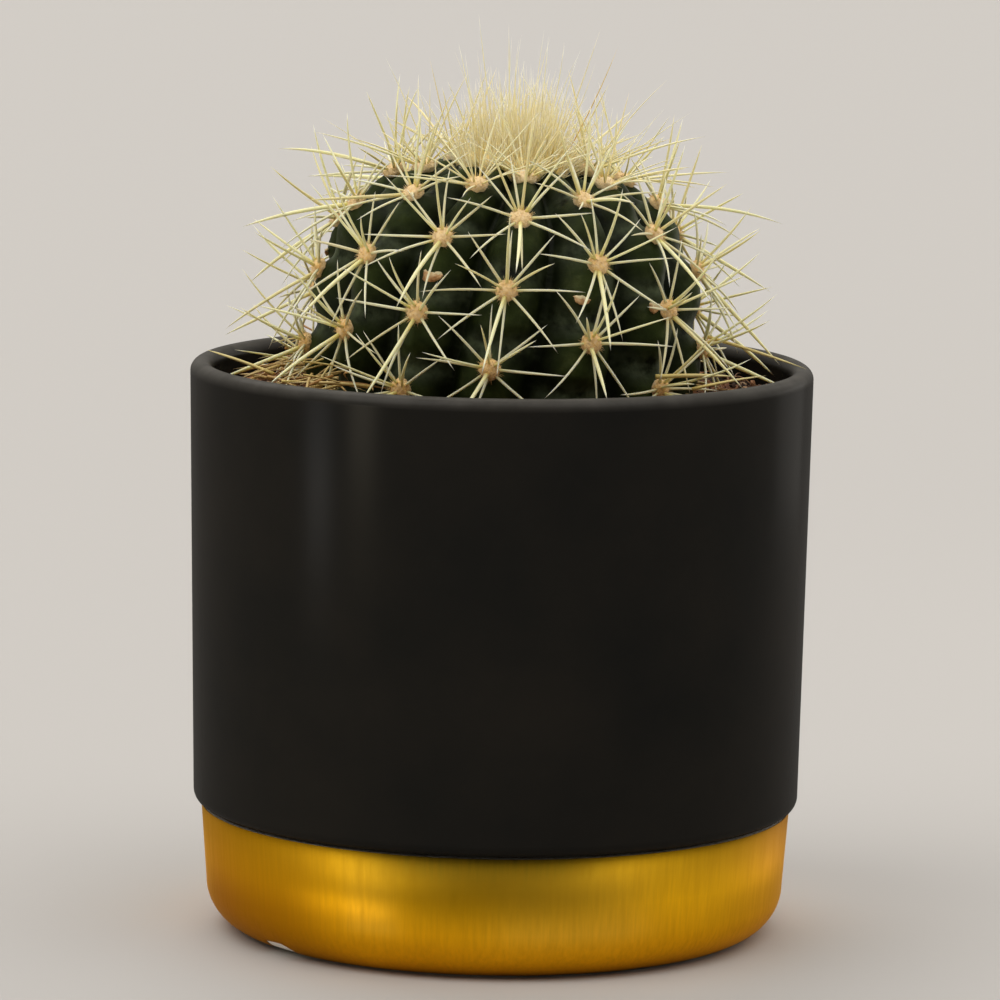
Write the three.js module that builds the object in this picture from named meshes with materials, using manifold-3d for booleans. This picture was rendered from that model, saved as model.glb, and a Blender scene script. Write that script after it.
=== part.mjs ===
// A round barrel cactus in a two-tone cylindrical pot.
// Millimetres, +Z up, origin at the centre of the pot's flat underside, -Y towards the viewer.
import * as THREE from 'three';
import { mergeVertices } from 'three/addons/utils/BufferGeometryUtils.js';
import Module from 'manifold-3d';

const wasm = await Module();
wasm.setup();

// Pot: a straight black wall standing on a gold base, with a small step between them
const POT_RADIUS = 55;
const POT_HEIGHT = 101;
const WALL = 4;
const WALL_TAPER = 1.3;
const SEAM_HEIGHT = 22;
const WALL_FOOT_ROUNDING = 2.2;
const BASE_STEP = 1.4;
const BASE_CORNER = 8.4;
const BASE_TAPER = 1.0;
const FLOOR = 6;
const SEAT_GAP = 0.3;
const POT_SEGMENTS = 48;
const FOOT_STEPS = 3;
const LIP_STEPS = 6;
const CORNER_STEPS = 6;
const FLOOR_STEPS = 3;

// Soil: a plug that fills the pot to just below the rim, its top in low waves
const SOIL_DROP = 5.5;
const SOIL_RELIEF = 0.6;
const SOIL_EDGE_GAP = 0.7;
const SOIL_RINGS = [45, 39];
const WAVE_ACROSS = 15.3;
const WAVE_DEEP = 17;
const WAVE_START = [1.3, 0.4];
const HOLE_SLACK = 0.3;
const HOLE_SEGMENTS = 40;
const HOLE_STEP = 4;

// Plant body: a squat barrel with full shoulders that leans a little, with 13 ribs
const BODY_RADIUS = 35;
const BODY_TOP = 37.7;
const BODY_BOTTOM = 25;
const SHOULDER_POWER = 3;
const BODY_CENTRE = new THREE.Vector3(0.1, 0, 98.8);
const LEAN_RIGHT = THREE.MathUtils.degToRad(3.2);
const LEAN_FORWARD = THREE.MathUtils.degToRad(1.3);
const RIBS = 13;
const RIB_TURN = (2 * Math.PI) / RIBS;
const FIRST_RIB_BEARING = THREE.MathUtils.degToRad(-90 + 2.2);
const RIB_TWIST = THREE.MathUtils.degToRad(-0.23);
const TWIST_FREE_ARC = 30;
const RIB_DRIFT = [-0.5, -0.5, 0, 1.5, -1, 1, 2, 3, 6, 10, 3, 5, 2.5].map(THREE.MathUtils.degToRad);
const GROOVE_DEPTH = 5.6;
const GROOVE_SHARPNESS = 1.6;
const NOTCH_DEPTH = 1.7;
const NOTCH_PLACE = 0.7;
const NOTCH_SHARPNESS = 2.2;
const FULL_DEPTH_ARC = 22;
const ROOT_RADIUS = 9;
const ROOT_NECK = 3;
const ROOT_TIP_RADIUS = 5.4;
const ROOT_TIP = 2;
const ROOT_DEPTH = 34;

// Areoles: one spiral from the apex, each on the fifth rib after the one before it
const AREOLE_SPACING = 13.6;
const SPIRAL_STEP = AREOLE_SPACING / RIBS;
const RIBS_PER_STEP = 5;
const FIRST_AREOLE_ARC = 1.2;
const CROWN_ARC = 10.5;
const AREOLE_RADIUS = 1.9;
const AREOLE_HEIGHT = 1.45;
const YOUNG_SWELLING = 0.6;
const LOWEST_AREOLE = 3;

// Spines: eight radials, a long main central that points down and out, and three that point up and out.
// Angles are in degrees: a tilt is from the outward axis, a round is from straight down the rib.
// The main central lies flattest at mid height and stands out more on the youngest and the oldest areoles.
const RADIAL_SPINES = 8;
const RADIAL_START = 0.15;
const RADIAL_LENGTH = 12.8;
const RADIAL_LENGTH_SWING = 2.1;
const RADIAL_TILT = 76;
const YOUNG_RADIAL_RISE = 34;
const MAIN_LENGTH = 20.5;
const MAIN_TILT = 62;
const YOUNG_MAIN_RISE = 12;
const OLD_MAIN_RISE = 2;
const OLD_MAIN_ARC = 38;
const OLD_MAIN_SPAN = 15;
const MAIN_SWAY = -9;
const CENTRAL_ROUNDS = [120, 180, 240];
const CENTRAL_LENGTH = 15.5;
const YOUNG_CENTRAL_GROWTH = 3.4;
const CENTRAL_TILT = 38;
const LENGTH_DRAW = 1.3;
const RADIAL_DRAW = 8;
const MAIN_DRAW = 18;
const CENTRAL_DRAW = 18;
const TILT_DRAW = 7;
const LEAN_STEP = 6;
const SPINE_RADIUS = 0.3;
const MAIN_SPINE_RADIUS = 0.42;
const YOUNG_THINNING = 0.35;
const SPINE_SIDES = 3;
const ERECT_ARC = 30;
const SPINE_CLEARANCE = 0.5;
const RIM_MARGIN = 1;
const RIM_HALVINGS = 20;
const WOOL_TEST_STEP = 0.05;
const DISTANCE_STEPS = 24;
const SPINE_SEED = 5;
const CROWN_SEED = 4001;
const ROOT_RING = 0.95;
const ROOT_HEIGHT = 0.2;
const LARGEST_TURN = 14;

// Crown: a cushion of wool with a tuft of upright spines, densest and longest in the middle
const WOOL_HEIGHT = 2.6;
const WOOL_EDGE = 0.5;
const WOOL_COLUMNS = 24;
const WOOL_ROUNDNESS = 2.4;
const WOOL_TOP_RINGS = [0.35, 0.7, 0.92, 1];
const WOOL_UNDER_RINGS = [0.94, 0.5];
const CROWN_SPINES = 170;
const CROWN_REACH = 0.88;
const CROWN_CROWDING = 0.62;
const CROWN_SHORTEST = 9;
const CROWN_LONGER = 19;
const CROWN_EDGE_SHORTER = 0.25;
const CROWN_SPINE_RADIUS = 0.25;
const CROWN_FLARE = 0.5;
const CROWN_STRAY = 0.13;
const CROWN_ROOT_HEIGHT = 0.8;
const CROWN_ATTEMPTS = 6;
const GOLDEN_ANGLE = Math.PI * (3 - Math.sqrt(5));

const soilLevel = POT_HEIGHT - SOIL_DROP;
const innerRadius = POT_RADIUS - WALL;
const MERGE_DISTANCE = 1e-5;

// A plain seeded draw, the same on every run
function randomFrom(seed) {
  let state = (seed * 7919 + 12345) % 2147483647;
  const draw = () => {
    state = (state * 16807) % 2147483647;
    return state / 2147483647;
  };
  for (let warmUp = 0; warmUp < 4; warmUp += 1) draw();
  return draw;
}

function spread(draw, halfRange) {
  return (draw() * 2 - 1) * halfRange;
}

function material(colour, roughness, metalness) {
  return new THREE.MeshStandardMaterial({ color: colour, roughness, metalness, flatShading: true });
}

function solidFrom(geometry) {
  const bare = geometry.clone();
  bare.deleteAttribute('normal');
  bare.deleteAttribute('uv');
  const merged = mergeVertices(bare, MERGE_DISTANCE);
  return new wasm.Manifold(new wasm.Mesh({
    numProp: 3,
    vertProperties: new Float32Array(merged.attributes.position.array),
    triVerts: new Uint32Array(merged.index.array),
  }));
}

function geometryFrom(solid) {
  const mesh = solid.getMesh();
  const geometry = new THREE.BufferGeometry();
  geometry.setAttribute('position', new THREE.BufferAttribute(new Float32Array(mesh.vertProperties), 3));
  geometry.setIndex(new THREE.BufferAttribute(new Uint32Array(mesh.triVerts), 1));
  geometry.computeVertexNormals();
  return geometry;
}

// A closed skin over rings of points, each ring with the same count, from a top pole to a bottom pole
function skinOverRings(rings, topPole, bottomPole) {
  const count = rings[0].length;
  const points = [topPole, ...rings.flat(), bottomPole];
  const faces = [];
  const at = (ring, column) => 1 + ring * count + (column % count);
  for (let column = 0; column < count; column += 1) {
    faces.push(0, at(0, column), at(0, column + 1));
    for (let ring = 0; ring < rings.length - 1; ring += 1) {
      faces.push(at(ring, column), at(ring + 1, column), at(ring + 1, column + 1));
      faces.push(at(ring, column), at(ring + 1, column + 1), at(ring, column + 1));
    }
    faces.push(points.length - 1, at(rings.length - 1, column + 1), at(rings.length - 1, column));
  }
  const geometry = new THREE.BufferGeometry().setFromPoints(points);
  geometry.setIndex(faces);
  return geometry;
}

// Turned pieces: an outline of radius and height, spun about the upright axis
function turned(outline, segments) {
  return new THREE.LatheGeometry(outline, segments).rotateX(Math.PI / 2);
}

function arcPoints(centreRadius, centreHeight, radius, fromDegrees, toDegrees, steps) {
  const points = [];
  for (let step = 0; step <= steps; step += 1) {
    const angle = THREE.MathUtils.degToRad(fromDegrees + ((toDegrees - fromDegrees) * step) / steps);
    points.push(new THREE.Vector2(
      centreRadius + radius * Math.cos(angle),
      centreHeight + radius * Math.sin(angle),
    ));
  }
  return points;
}

function potWallGeometry() {
  const footRadius = POT_RADIUS - WALL_TAPER;
  const footInner = footRadius - WALL;
  const lip = WALL / 2;
  const outline = [
    new THREE.Vector2(footInner, SEAM_HEIGHT + SEAT_GAP),
    ...arcPoints(footRadius - WALL_FOOT_ROUNDING, SEAM_HEIGHT + SEAT_GAP + WALL_FOOT_ROUNDING,
      WALL_FOOT_ROUNDING, -90, 0, FOOT_STEPS),
    ...arcPoints(POT_RADIUS - lip, POT_HEIGHT - lip, lip, 0, 180, LIP_STEPS),
  ];
  outline.push(outline[0].clone());
  return turned(outline, POT_SEGMENTS);
}

function potBaseGeometry() {
  const shoulder = POT_RADIUS - WALL_TAPER - BASE_STEP;
  const cornerRadius = shoulder - BASE_TAPER - BASE_CORNER;
  const inside = POT_RADIUS - WALL_TAPER - WALL;
  const outline = [
    new THREE.Vector2(0, 0),
    ...arcPoints(cornerRadius, BASE_CORNER, BASE_CORNER, -90, 0, CORNER_STEPS),
    new THREE.Vector2(shoulder, SEAM_HEIGHT),
    new THREE.Vector2(inside, SEAM_HEIGHT),
    ...arcPoints(inside - FLOOR, FLOOR * 2, FLOOR, 0, -90, FLOOR_STEPS),
    new THREE.Vector2(0, FLOOR),
  ];
  return turned(outline, POT_SEGMENTS);
}

// Plant frame: the body's centre at the origin, its axis along +Z
const plant = new THREE.Group();
plant.position.copy(BODY_CENTRE);
plant.rotation.set(LEAN_FORWARD, LEAN_RIGHT, 0);
plant.updateMatrixWorld(true);

// The body's outline, a rounded square, from the apex down to the root: radius, height and arc length
const PROFILE_STEPS = 720;
const profile = [];
for (let step = 0; step <= PROFILE_STEPS; step += 1) {
  const polar = (Math.PI * step) / PROFILE_STEPS;
  const halfHeight = polar < Math.PI / 2 ? BODY_TOP : BODY_BOTTOM;
  const reach = ((Math.sin(polar) / BODY_RADIUS) ** SHOULDER_POWER
    + (Math.abs(Math.cos(polar)) / halfHeight) ** SHOULDER_POWER) ** (-1 / SHOULDER_POWER);
  const radius = reach * Math.sin(polar);
  const height = reach * Math.cos(polar);
  const last = profile.at(-1);
  const arc = last ? last.arc + Math.hypot(radius - last.radius, height - last.height) : 0;
  profile.push({ radius, height, arc, halfHeight });
}

function profileAt(arc) {
  let low = 0;
  let high = PROFILE_STEPS;
  while (high - low > 1) {
    const middle = (low + high) >> 1;
    if (profile[middle].arc > arc) high = middle;
    else low = middle;
  }
  const share = (arc - profile[low].arc) / (profile[high].arc - profile[low].arc);
  return {
    radius: THREE.MathUtils.lerp(profile[low].radius, profile[high].radius, share),
    height: THREE.MathUtils.lerp(profile[low].height, profile[high].height, share),
    halfHeight: profile[low].halfHeight,
  };
}

function ribDrift(rib) {
  const below = Math.floor(rib);
  const from = RIB_DRIFT[((below % RIBS) + RIBS) % RIBS];
  const to = RIB_DRIFT[(((below + 1) % RIBS) + RIBS) % RIBS];
  return THREE.MathUtils.lerp(from, to, rib - below);
}

function bearingOf(rib, arc) {
  return FIRST_RIB_BEARING + rib * RIB_TURN + ribDrift(rib) + RIB_TWIST * (arc - TWIST_FREE_ARC);
}

// The smooth barrel that the areoles lie on: a place and its outward direction
function onBarrel(arc, bearing) {
  const { radius, height, halfHeight } = profileAt(arc);
  const outward = (radius / BODY_RADIUS) ** (SHOULDER_POWER - 1) / BODY_RADIUS;
  const upward = (Math.sign(height) * (Math.abs(height) / halfHeight) ** (SHOULDER_POWER - 1)) / halfHeight;
  const out = new THREE.Vector3(outward * Math.cos(bearing), outward * Math.sin(bearing), upward).normalize();
  const place = new THREE.Vector3(radius * Math.cos(bearing), radius * Math.sin(bearing), height);
  return { place, out };
}

// How far the skin lies below the barrel: grooves between ribs, and a notch above each areole of a rib
function skinDepth(rib, arc) {
  const nearest = Math.round(rib);
  const across = Math.abs(rib - nearest) * 2;
  const groove = across ** GROOVE_SHARPNESS;
  const alongRib = (arc - FIRST_AREOLE_ARC) / AREOLE_SPACING + (nearest * RIBS_PER_STEP) / RIBS;
  const notch = (0.5 + 0.5 * Math.cos(2 * Math.PI * (alongRib - NOTCH_PLACE))) ** NOTCH_SHARPNESS;
  const size = Math.min(1, arc / FULL_DEPTH_ARC);
  return size * (GROOVE_DEPTH * groove + NOTCH_DEPTH * notch * (1 - groove));
}

function skinPoint(rib, arc) {
  const { place, out } = onBarrel(arc, bearingOf(rib, arc));
  return place.addScaledVector(out, -skinDepth(rib, arc));
}

// Rows of the stem's skin: close together where it shows, wider apart in the soil
const COLUMNS_PER_RIB = 4;
const ROW_STEP = AREOLE_SPACING / 5;
const BURIED_ROW_STEP = AREOLE_SPACING / 2;
const FIRST_ROW_ARC = ROW_STEP * 1.5;
const LAST_SEEN_ARC = 66;
const LAST_ARC = 84;

function stemGeometry() {
  const columns = RIBS * COLUMNS_PER_RIB;
  const rings = [];
  for (let arc = FIRST_ROW_ARC; arc < LAST_ARC; arc += arc > LAST_SEEN_ARC ? BURIED_ROW_STEP : ROW_STEP) {
    const ring = [];
    for (let column = 0; column < columns; column += 1) ring.push(skinPoint(column / COLUMNS_PER_RIB, arc));
    rings.push(ring);
  }
  const lowest = rings.at(-1)[0].z;
  const rootRings = [[lowest - ROOT_NECK, ROOT_RADIUS], [ROOT_TIP - ROOT_DEPTH, ROOT_TIP_RADIUS]];
  for (const [height, radius] of rootRings) {
    const ring = [];
    for (let column = 0; column < columns; column += 1) {
      const bearing = bearingOf(column / COLUMNS_PER_RIB, LAST_ARC);
      ring.push(new THREE.Vector3(radius * Math.cos(bearing), radius * Math.sin(bearing), height));
    }
    rings.push(ring);
  }
  const topPole = new THREE.Vector3(0, 0, BODY_TOP);
  return skinOverRings(rings, topPole, new THREE.Vector3(0, 0, -ROOT_DEPTH));
}

// Every areole of the spiral, with its own axes: out of the skin, down the rib and across it
function areoles() {
  const found = [];
  for (let step = 0; FIRST_AREOLE_ARC + step * SPIRAL_STEP < LAST_SEEN_ARC; step += 1) {
    const arc = FIRST_AREOLE_ARC + step * SPIRAL_STEP;
    const rib = (step * RIBS_PER_STEP) % RIBS;
    const bearing = bearingOf(rib, arc);
    const { place, out } = onBarrel(arc, bearing);
    const across = new THREE.Vector3(-Math.sin(bearing), Math.cos(bearing), 0);
    const down = new THREE.Vector3().crossVectors(across, out).normalize();
    const world = place.clone().applyMatrix4(plant.matrixWorld);
    const youth = Math.max(0, 1 - arc / ERECT_ARC);
    const draw = randomFrom(SPINE_SEED + step);
    const turn = spread(draw, LARGEST_TURN);
    found.push({ step, arc, youth, draw, turn, place, out, across, down, height: world.z });
  }
  return found;
}

// A raised four-sided cushion, half sunk in the skin
function areolePad({ place, out, youth }) {
  const radius = AREOLE_RADIUS + YOUNG_SWELLING * youth;
  const pad = new THREE.OctahedronGeometry(radius);
  pad.scale(1, AREOLE_HEIGHT / radius, 1);
  pad.applyQuaternion(new THREE.Quaternion().setFromUnitVectors(new THREE.Vector3(0, 1, 0), out));
  return pad.translate(place.x, place.y, place.z);
}

// A three-sided needle from a sunk root to its tip
function needle({ root, tip, radius }) {
  const length = root.distanceTo(tip);
  const cone = new THREE.ConeGeometry(radius, length, SPINE_SIDES, 1);
  cone.translate(0, length / 2, 0);
  const direction = tip.clone().sub(root).normalize();
  cone.applyQuaternion(new THREE.Quaternion().setFromUnitVectors(new THREE.Vector3(0, 1, 0), direction));
  return cone.translate(root.x, root.y, root.z);
}

// A spine's direction: tilted away from the outward axis, round to a side of the areole
function leant(areole, tilt, round) {
  const tilted = THREE.MathUtils.degToRad(tilt);
  const turned = THREE.MathUtils.degToRad(round);
  const side = areole.down.clone().multiplyScalar(Math.cos(turned))
    .addScaledVector(areole.across, Math.sin(turned));
  return areole.out.clone().multiplyScalar(Math.cos(tilted)).addScaledVector(side, Math.sin(tilted));
}

// Whether a spine runs through the space of the crown's wool
function touchesWool({ root, tip }) {
  for (let share = 0; share <= 1; share += WOOL_TEST_STEP) {
    const point = root.clone().lerp(tip, share);
    const radius = Math.hypot(point.x, point.y);
    const under = point.z < BODY_TOP + WOOL_HEIGHT + WOOL_EDGE + SEAT_GAP + SPINE_CLEARANCE;
    if (radius < CROWN_ARC + SPINE_CLEARANCE && under) return true;
  }
  return false;
}

function spinesOf(areole) {
  const { youth, draw, turn } = areole;
  const thinned = 1 - YOUNG_THINNING * youth;
  const spines = [];
  const add = (tilt, round, length, radius) => {
    const inset = ROOT_RING * Math.sin(THREE.MathUtils.degToRad(tilt));
    const root = areole.place.clone().addScaledVector(areole.out, ROOT_HEIGHT)
      .addScaledVector(leant(areole, 90, round), inset);
    for (let leaning = tilt; leaning > 0; leaning -= LEAN_STEP) {
      const tip = root.clone().addScaledVector(leant(areole, leaning, round), length);
      const spine = { root, tip, radius: radius * thinned };
      if (!touchesWool(spine)) {
        spines.push(spine);
        break;
      }
    }
  };
  for (let spine = 0; spine < RADIAL_SPINES; spine += 1) {
    const round = ((spine + RADIAL_START) * 360) / RADIAL_SPINES + turn + spread(draw, RADIAL_DRAW);
    const lower = Math.cos(THREE.MathUtils.degToRad(round));
    const length = RADIAL_LENGTH + RADIAL_LENGTH_SWING * lower + spread(draw, LENGTH_DRAW);
    add(RADIAL_TILT - YOUNG_RADIAL_RISE * youth + spread(draw, TILT_DRAW), round, length, SPINE_RADIUS);
  }
  const age = THREE.MathUtils.clamp(areole.arc - OLD_MAIN_ARC, 0, OLD_MAIN_SPAN);
  const mainTilt = MAIN_TILT - YOUNG_MAIN_RISE * youth - OLD_MAIN_RISE * age + spread(draw, TILT_DRAW);
  const mainRound = MAIN_SWAY + spread(draw, MAIN_DRAW);
  add(mainTilt, mainRound, MAIN_LENGTH + spread(draw, LENGTH_DRAW), MAIN_SPINE_RADIUS);
  for (const round of CENTRAL_ROUNDS) {
    const length = CENTRAL_LENGTH + YOUNG_CENTRAL_GROWTH * youth + spread(draw, LENGTH_DRAW);
    const tilt = CENTRAL_TILT + spread(draw, TILT_DRAW);
    add(tilt, round + spread(draw, CENTRAL_DRAW), length, SPINE_RADIUS);
  }
  return spines;
}

// A spine that would touch the soil lies just above it, and one that would touch the pot stops short
function keptClear(spine) {
  const toPart = plant.matrixWorld;
  const root = spine.root.clone().applyMatrix4(toPart);
  const tip = spine.tip.clone().applyMatrix4(toPart);
  const floor = soilLevel + SOIL_RELIEF + SPINE_CLEARANCE;
  if (tip.z < floor) tip.z = floor;
  const reach = Math.hypot(tip.x, tip.y);
  const belowRim = tip.z < POT_HEIGHT + SPINE_CLEARANCE;
  const limit = belowRim ? innerRadius - SPINE_CLEARANCE : POT_RADIUS - RIM_MARGIN;
  if (reach > limit) {
    let low = 0;
    let high = 1;
    for (let halving = 0; halving < RIM_HALVINGS; halving += 1) {
      const middle = (low + high) / 2;
      const point = root.clone().lerp(tip, middle);
      if (Math.hypot(point.x, point.y) > limit) high = middle;
      else low = middle;
    }
    tip.copy(root.clone().lerp(tip, low));
  }
  const toPlant = toPart.clone().invert();
  return { ...spine, tip: tip.applyMatrix4(toPlant) };
}

function fused(geometries) {
  return wasm.Manifold.union(geometries.map(solidFrom));
}

// Distance between two straight spines
function distanceBetween(first, second) {
  let nearest = Infinity;
  for (let step = 0; step <= DISTANCE_STEPS; step += 1) {
    const point = first.root.clone().lerp(first.tip, step / DISTANCE_STEPS);
    const line = new THREE.Line3(second.root, second.tip);
    const closest = line.closestPointToPoint(point, true, new THREE.Vector3());
    nearest = Math.min(nearest, closest.distanceTo(point));
  }
  return nearest;
}

function crownWoolGeometry() {
  const rings = [];
  const ringAt = (arc, lift) => {
    const ring = [];
    for (let column = 0; column < WOOL_COLUMNS; column += 1) {
      const rib = (column * RIBS) / WOOL_COLUMNS;
      const { place, out } = onBarrel(arc, bearingOf(rib, arc));
      ring.push(place.addScaledVector(out, lift));
    }
    return ring;
  };
  for (const share of WOOL_TOP_RINGS) {
    const bulge = Math.sqrt(1 - share ** WOOL_ROUNDNESS);
    rings.push(ringAt(share * CROWN_ARC, SEAT_GAP + WOOL_EDGE + WOOL_HEIGHT * bulge));
  }
  for (const share of WOOL_UNDER_RINGS) rings.push(ringAt(share * CROWN_ARC, SEAT_GAP));
  const topPole = new THREE.Vector3(0, 0, BODY_TOP + SEAT_GAP + WOOL_EDGE + WOOL_HEIGHT);
  return skinOverRings(rings, topPole, new THREE.Vector3(0, 0, BODY_TOP + SEAT_GAP));
}

// Upright spines of the crown, drawn again where one would touch a spine of the body
function crownSpines(bodySpines) {
  const draw = randomFrom(CROWN_SEED);
  const kept = [];
  const nearby = bodySpines.filter((spine) => spine.tip.z > BODY_TOP - AREOLE_SPACING / 2);
  for (let place = 0; place < CROWN_SPINES; place += 1) {
    const edge = ((place + 0.5) / CROWN_SPINES) ** CROWN_CROWDING;
    const bearing = place * GOLDEN_ANGLE;
    const seat = onBarrel(CROWN_ARC * CROWN_REACH * edge, bearing);
    const root = seat.place.addScaledVector(seat.out, SEAT_GAP + CROWN_ROOT_HEIGHT);
    for (let attempt = 0; attempt < CROWN_ATTEMPTS; attempt += 1) {
      const direction = new THREE.Vector3(
        Math.cos(bearing) * edge * CROWN_FLARE + spread(draw, CROWN_STRAY),
        Math.sin(bearing) * edge * CROWN_FLARE + spread(draw, CROWN_STRAY),
        1,
      ).normalize();
      const length = (CROWN_SHORTEST + CROWN_LONGER * draw() * draw()) * (1 - CROWN_EDGE_SHORTER * edge);
      const tip = root.clone().addScaledVector(direction, length);
      const spine = { root, tip, radius: CROWN_SPINE_RADIUS };
      const clear = nearby.every((other) => (
        distanceBetween(spine, other) > spine.radius + other.radius + SPINE_CLEARANCE));
      if (clear) {
        kept.push(spine);
        break;
      }
    }
  }
  return kept;
}

function soilGeometry() {
  const outer = innerRadius - WALL_TAPER - SEAT_GAP;
  const bottom = FLOOR + SEAT_GAP;
  const outline = [
    new THREE.Vector2(0, bottom),
    new THREE.Vector2(outer - FLOOR, bottom),
    ...arcPoints(outer - FLOOR, FLOOR * 2 + SEAT_GAP, FLOOR, -90, 0, FLOOR_STEPS).slice(1),
    new THREE.Vector2(outer, SEAM_HEIGHT),
    new THREE.Vector2(innerRadius - SOIL_EDGE_GAP, soilLevel),
    ...SOIL_RINGS.map((radius) => new THREE.Vector2(radius, soilLevel)),
    new THREE.Vector2(0, soilLevel),
  ];
  const geometry = turned(outline, POT_SEGMENTS);
  const position = geometry.attributes.position;
  for (let index = 0; index < position.count; index += 1) {
    const x = position.getX(index);
    const y = position.getY(index);
    const z = position.getZ(index);
    const across = Math.sin((x / WAVE_ACROSS) * 2 * Math.PI + WAVE_START[0]);
    const deep = Math.sin((y / WAVE_DEEP) * 2 * Math.PI + WAVE_START[1]);
    if (z > SEAM_HEIGHT + 1) position.setZ(index, z + SOIL_RELIEF * across * deep);
  }
  return geometry;
}

// The plain hole that the plant stands in
function soilHoleGeometry() {
  const outline = [new THREE.Vector2(0, -ROOT_DEPTH - SEAT_GAP)];
  outline.push(new THREE.Vector2(ROOT_RADIUS + SEAT_GAP, -ROOT_DEPTH - SEAT_GAP));
  for (let arc = LAST_ARC; arc > LAST_SEEN_ARC - HOLE_STEP * 2; arc -= HOLE_STEP) {
    const { radius, height } = profileAt(arc);
    outline.push(new THREE.Vector2(radius + SEAT_GAP + HOLE_SLACK, height - SEAT_GAP));
  }
  outline.push(new THREE.Vector2(0, BODY_TOP / 2));
  return turned(outline, HOLE_SEGMENTS).applyMatrix4(plant.matrixWorld);
}

const BLACK_GLAZE = material(0x1a1918, 0.42, 0.0);
const GOLD_LACQUER = material(0xb08219, 0.35, 0.85);
const SOIL_BROWN = material(0x5a3a22, 0.95, 0.0);
const STEM_GREEN = material(0x223524, 0.6, 0.0);
const WOOL_YELLOW = material(0xe6cf86, 0.85, 0.0);

function named(name, geometry, finish) {
  const mesh = new THREE.Mesh(geometry, finish);
  mesh.name = name;
  return mesh;
}

const living = areoles().filter((areole) => (
  areole.arc > CROWN_ARC + AREOLE_RADIUS && areole.height > soilLevel + LOWEST_AREOLE));
const bodySpines = living.flatMap(spinesOf).map(keptClear);
const cactus = fused([stemGeometry(), ...living.map(areolePad), ...bodySpines.map(needle)]);
const crown = fused([crownWoolGeometry(), ...crownSpines(bodySpines).map(needle)]);
const soil = solidFrom(soilGeometry()).subtract(solidFrom(soilHoleGeometry()));

plant.add(named('cactus', geometryFrom(cactus), STEM_GREEN));
plant.add(named('crown', geometryFrom(crown), WOOL_YELLOW));

const part = new THREE.Group();
part.add(named('pot_wall', potWallGeometry(), BLACK_GLAZE));
part.add(named('pot_base', potBaseGeometry(), GOLD_LACQUER));
part.add(named('soil', geometryFrom(soil), SOIL_BROWN));
part.add(plant);

export default part;
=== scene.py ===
"""A round barrel cactus in a black and gold pot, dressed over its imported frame.

The rules below are in millimetres, +Z up, with the viewer on the -Y side. MM turns them into metres.
"""
import math

import bmesh
import bpy
import numpy as np
from mathutils import Euler, Matrix, Vector


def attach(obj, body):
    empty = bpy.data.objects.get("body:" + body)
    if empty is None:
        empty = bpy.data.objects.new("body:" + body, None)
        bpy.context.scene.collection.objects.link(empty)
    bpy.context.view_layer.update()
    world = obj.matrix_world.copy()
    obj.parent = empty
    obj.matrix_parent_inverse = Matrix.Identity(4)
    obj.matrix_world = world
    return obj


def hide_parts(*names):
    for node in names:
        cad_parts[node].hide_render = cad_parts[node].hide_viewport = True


MM = 0.001

# Pot
POT_RADIUS = 55
POT_HEIGHT = 101
WALL = 4
WALL_TAPER = 1.3
WALL_FOOT_ROUNDING = 2.2
SEAM_HEIGHT = 22
SEAM_GAP = 0.3
BASE_STEP = 1.4
BASE_TAPER = 1.0
BASE_CORNER = 8.4
CORNER_CENTRE = POT_RADIUS - WALL_TAPER - BASE_STEP - BASE_TAPER - BASE_CORNER
CORNER_STEPS = 16
WALL_FOOT_STEPS = 7
LIP_STEPS = 10
LIP_FULLNESS = 0.998
GOLD_THICKNESS = 0.15
GOLD_EDGE_ARC = 2.6
TURN_STEPS = 192
MERGE_DISTANCE = 0.002
SMOOTH_ANGLE = math.radians(35)

# The one place where the gold's edge rises and leaves the clay bare
BARE_BEARING = math.radians(-141.5)
BARE_HALF_WIDTH = math.radians(5.2)
BARE_ARC = 3.8
BARE_STEEPNESS = 2.2

# Painted light and shade on the gold, each kind with its colour: the first kind is a painted highlight at
# the front left and front, the second painted shade under the step at the front, the third painted shade low
# at the left and the fourth painted shade at the right; each patch with its strength, its bearing in
# degrees, its height, its half width round the pot and its half height
GOLD_PATCHES = {
    "painted_highlight": ((1.0, 0.64, 0.09), [(0.98, -114, 12.4, 5.5, 3.0), (0.30, -74, 10.5, 15.0, 3.6)]),
    "painted_shade_under_step": ((0.070, 0.050, 0.004), [(1.0, -91, 21.5, 23.0, 5.2)]),
    "painted_shade_low_left": ((0.38, 0.145, 0.002), [(0.92, -147, 9.0, 24.0, 14.0)]),
    "painted_shade_right": ((0.22, 0.115, 0.009), [(1.0, -22, 18.0, 24.0, 9.5)]),
}

# Soil
SOIL_HEIGHT = 95.5
SOIL_RADIUS = 50.9
BED_START = 26.0
BED_RING = 0.9
BED_DEPTH = 8
SINK_START = 44
SINK_WIDTH = 6
SINK_DEPTH = 0.8
FREE_SOIL_START = 27.5
GRAINS = 1500
GRAIN_SEED = 501
FIBRES = 260
FIBRE_SEED = 707
LITTER_SPINES = 150
LITTER_SEED = 606
LITTER_BEARING = math.radians(183)
CROWDED_SHARE = 0.72
LITTER_START = 29
LITTER_WIDTH = 15
PILE_PLACE = 37
PILE_HALF_WIDTH = 14
PILE_HEIGHT = 4.6
LITTER_STEM_ROOM = 26
# Each of the few straws that reach the rim: its root, its tip and its thickness
RIM_SPINES = [
    ((36.0, -5.0, 106.6), (53.4, -8.0, 101.5), 0.30),
    ((-40.0, -9.5, 99.4), (-52.0, -4.0, 102.8), 0.32),
    ((26.5, -26.5, 102.0), (40.6, -22.0, 101.7), 0.40),
    ((33.0, -22.0, 99.4), (46.0, -16.0, 101.2), 0.28),
]

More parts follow.
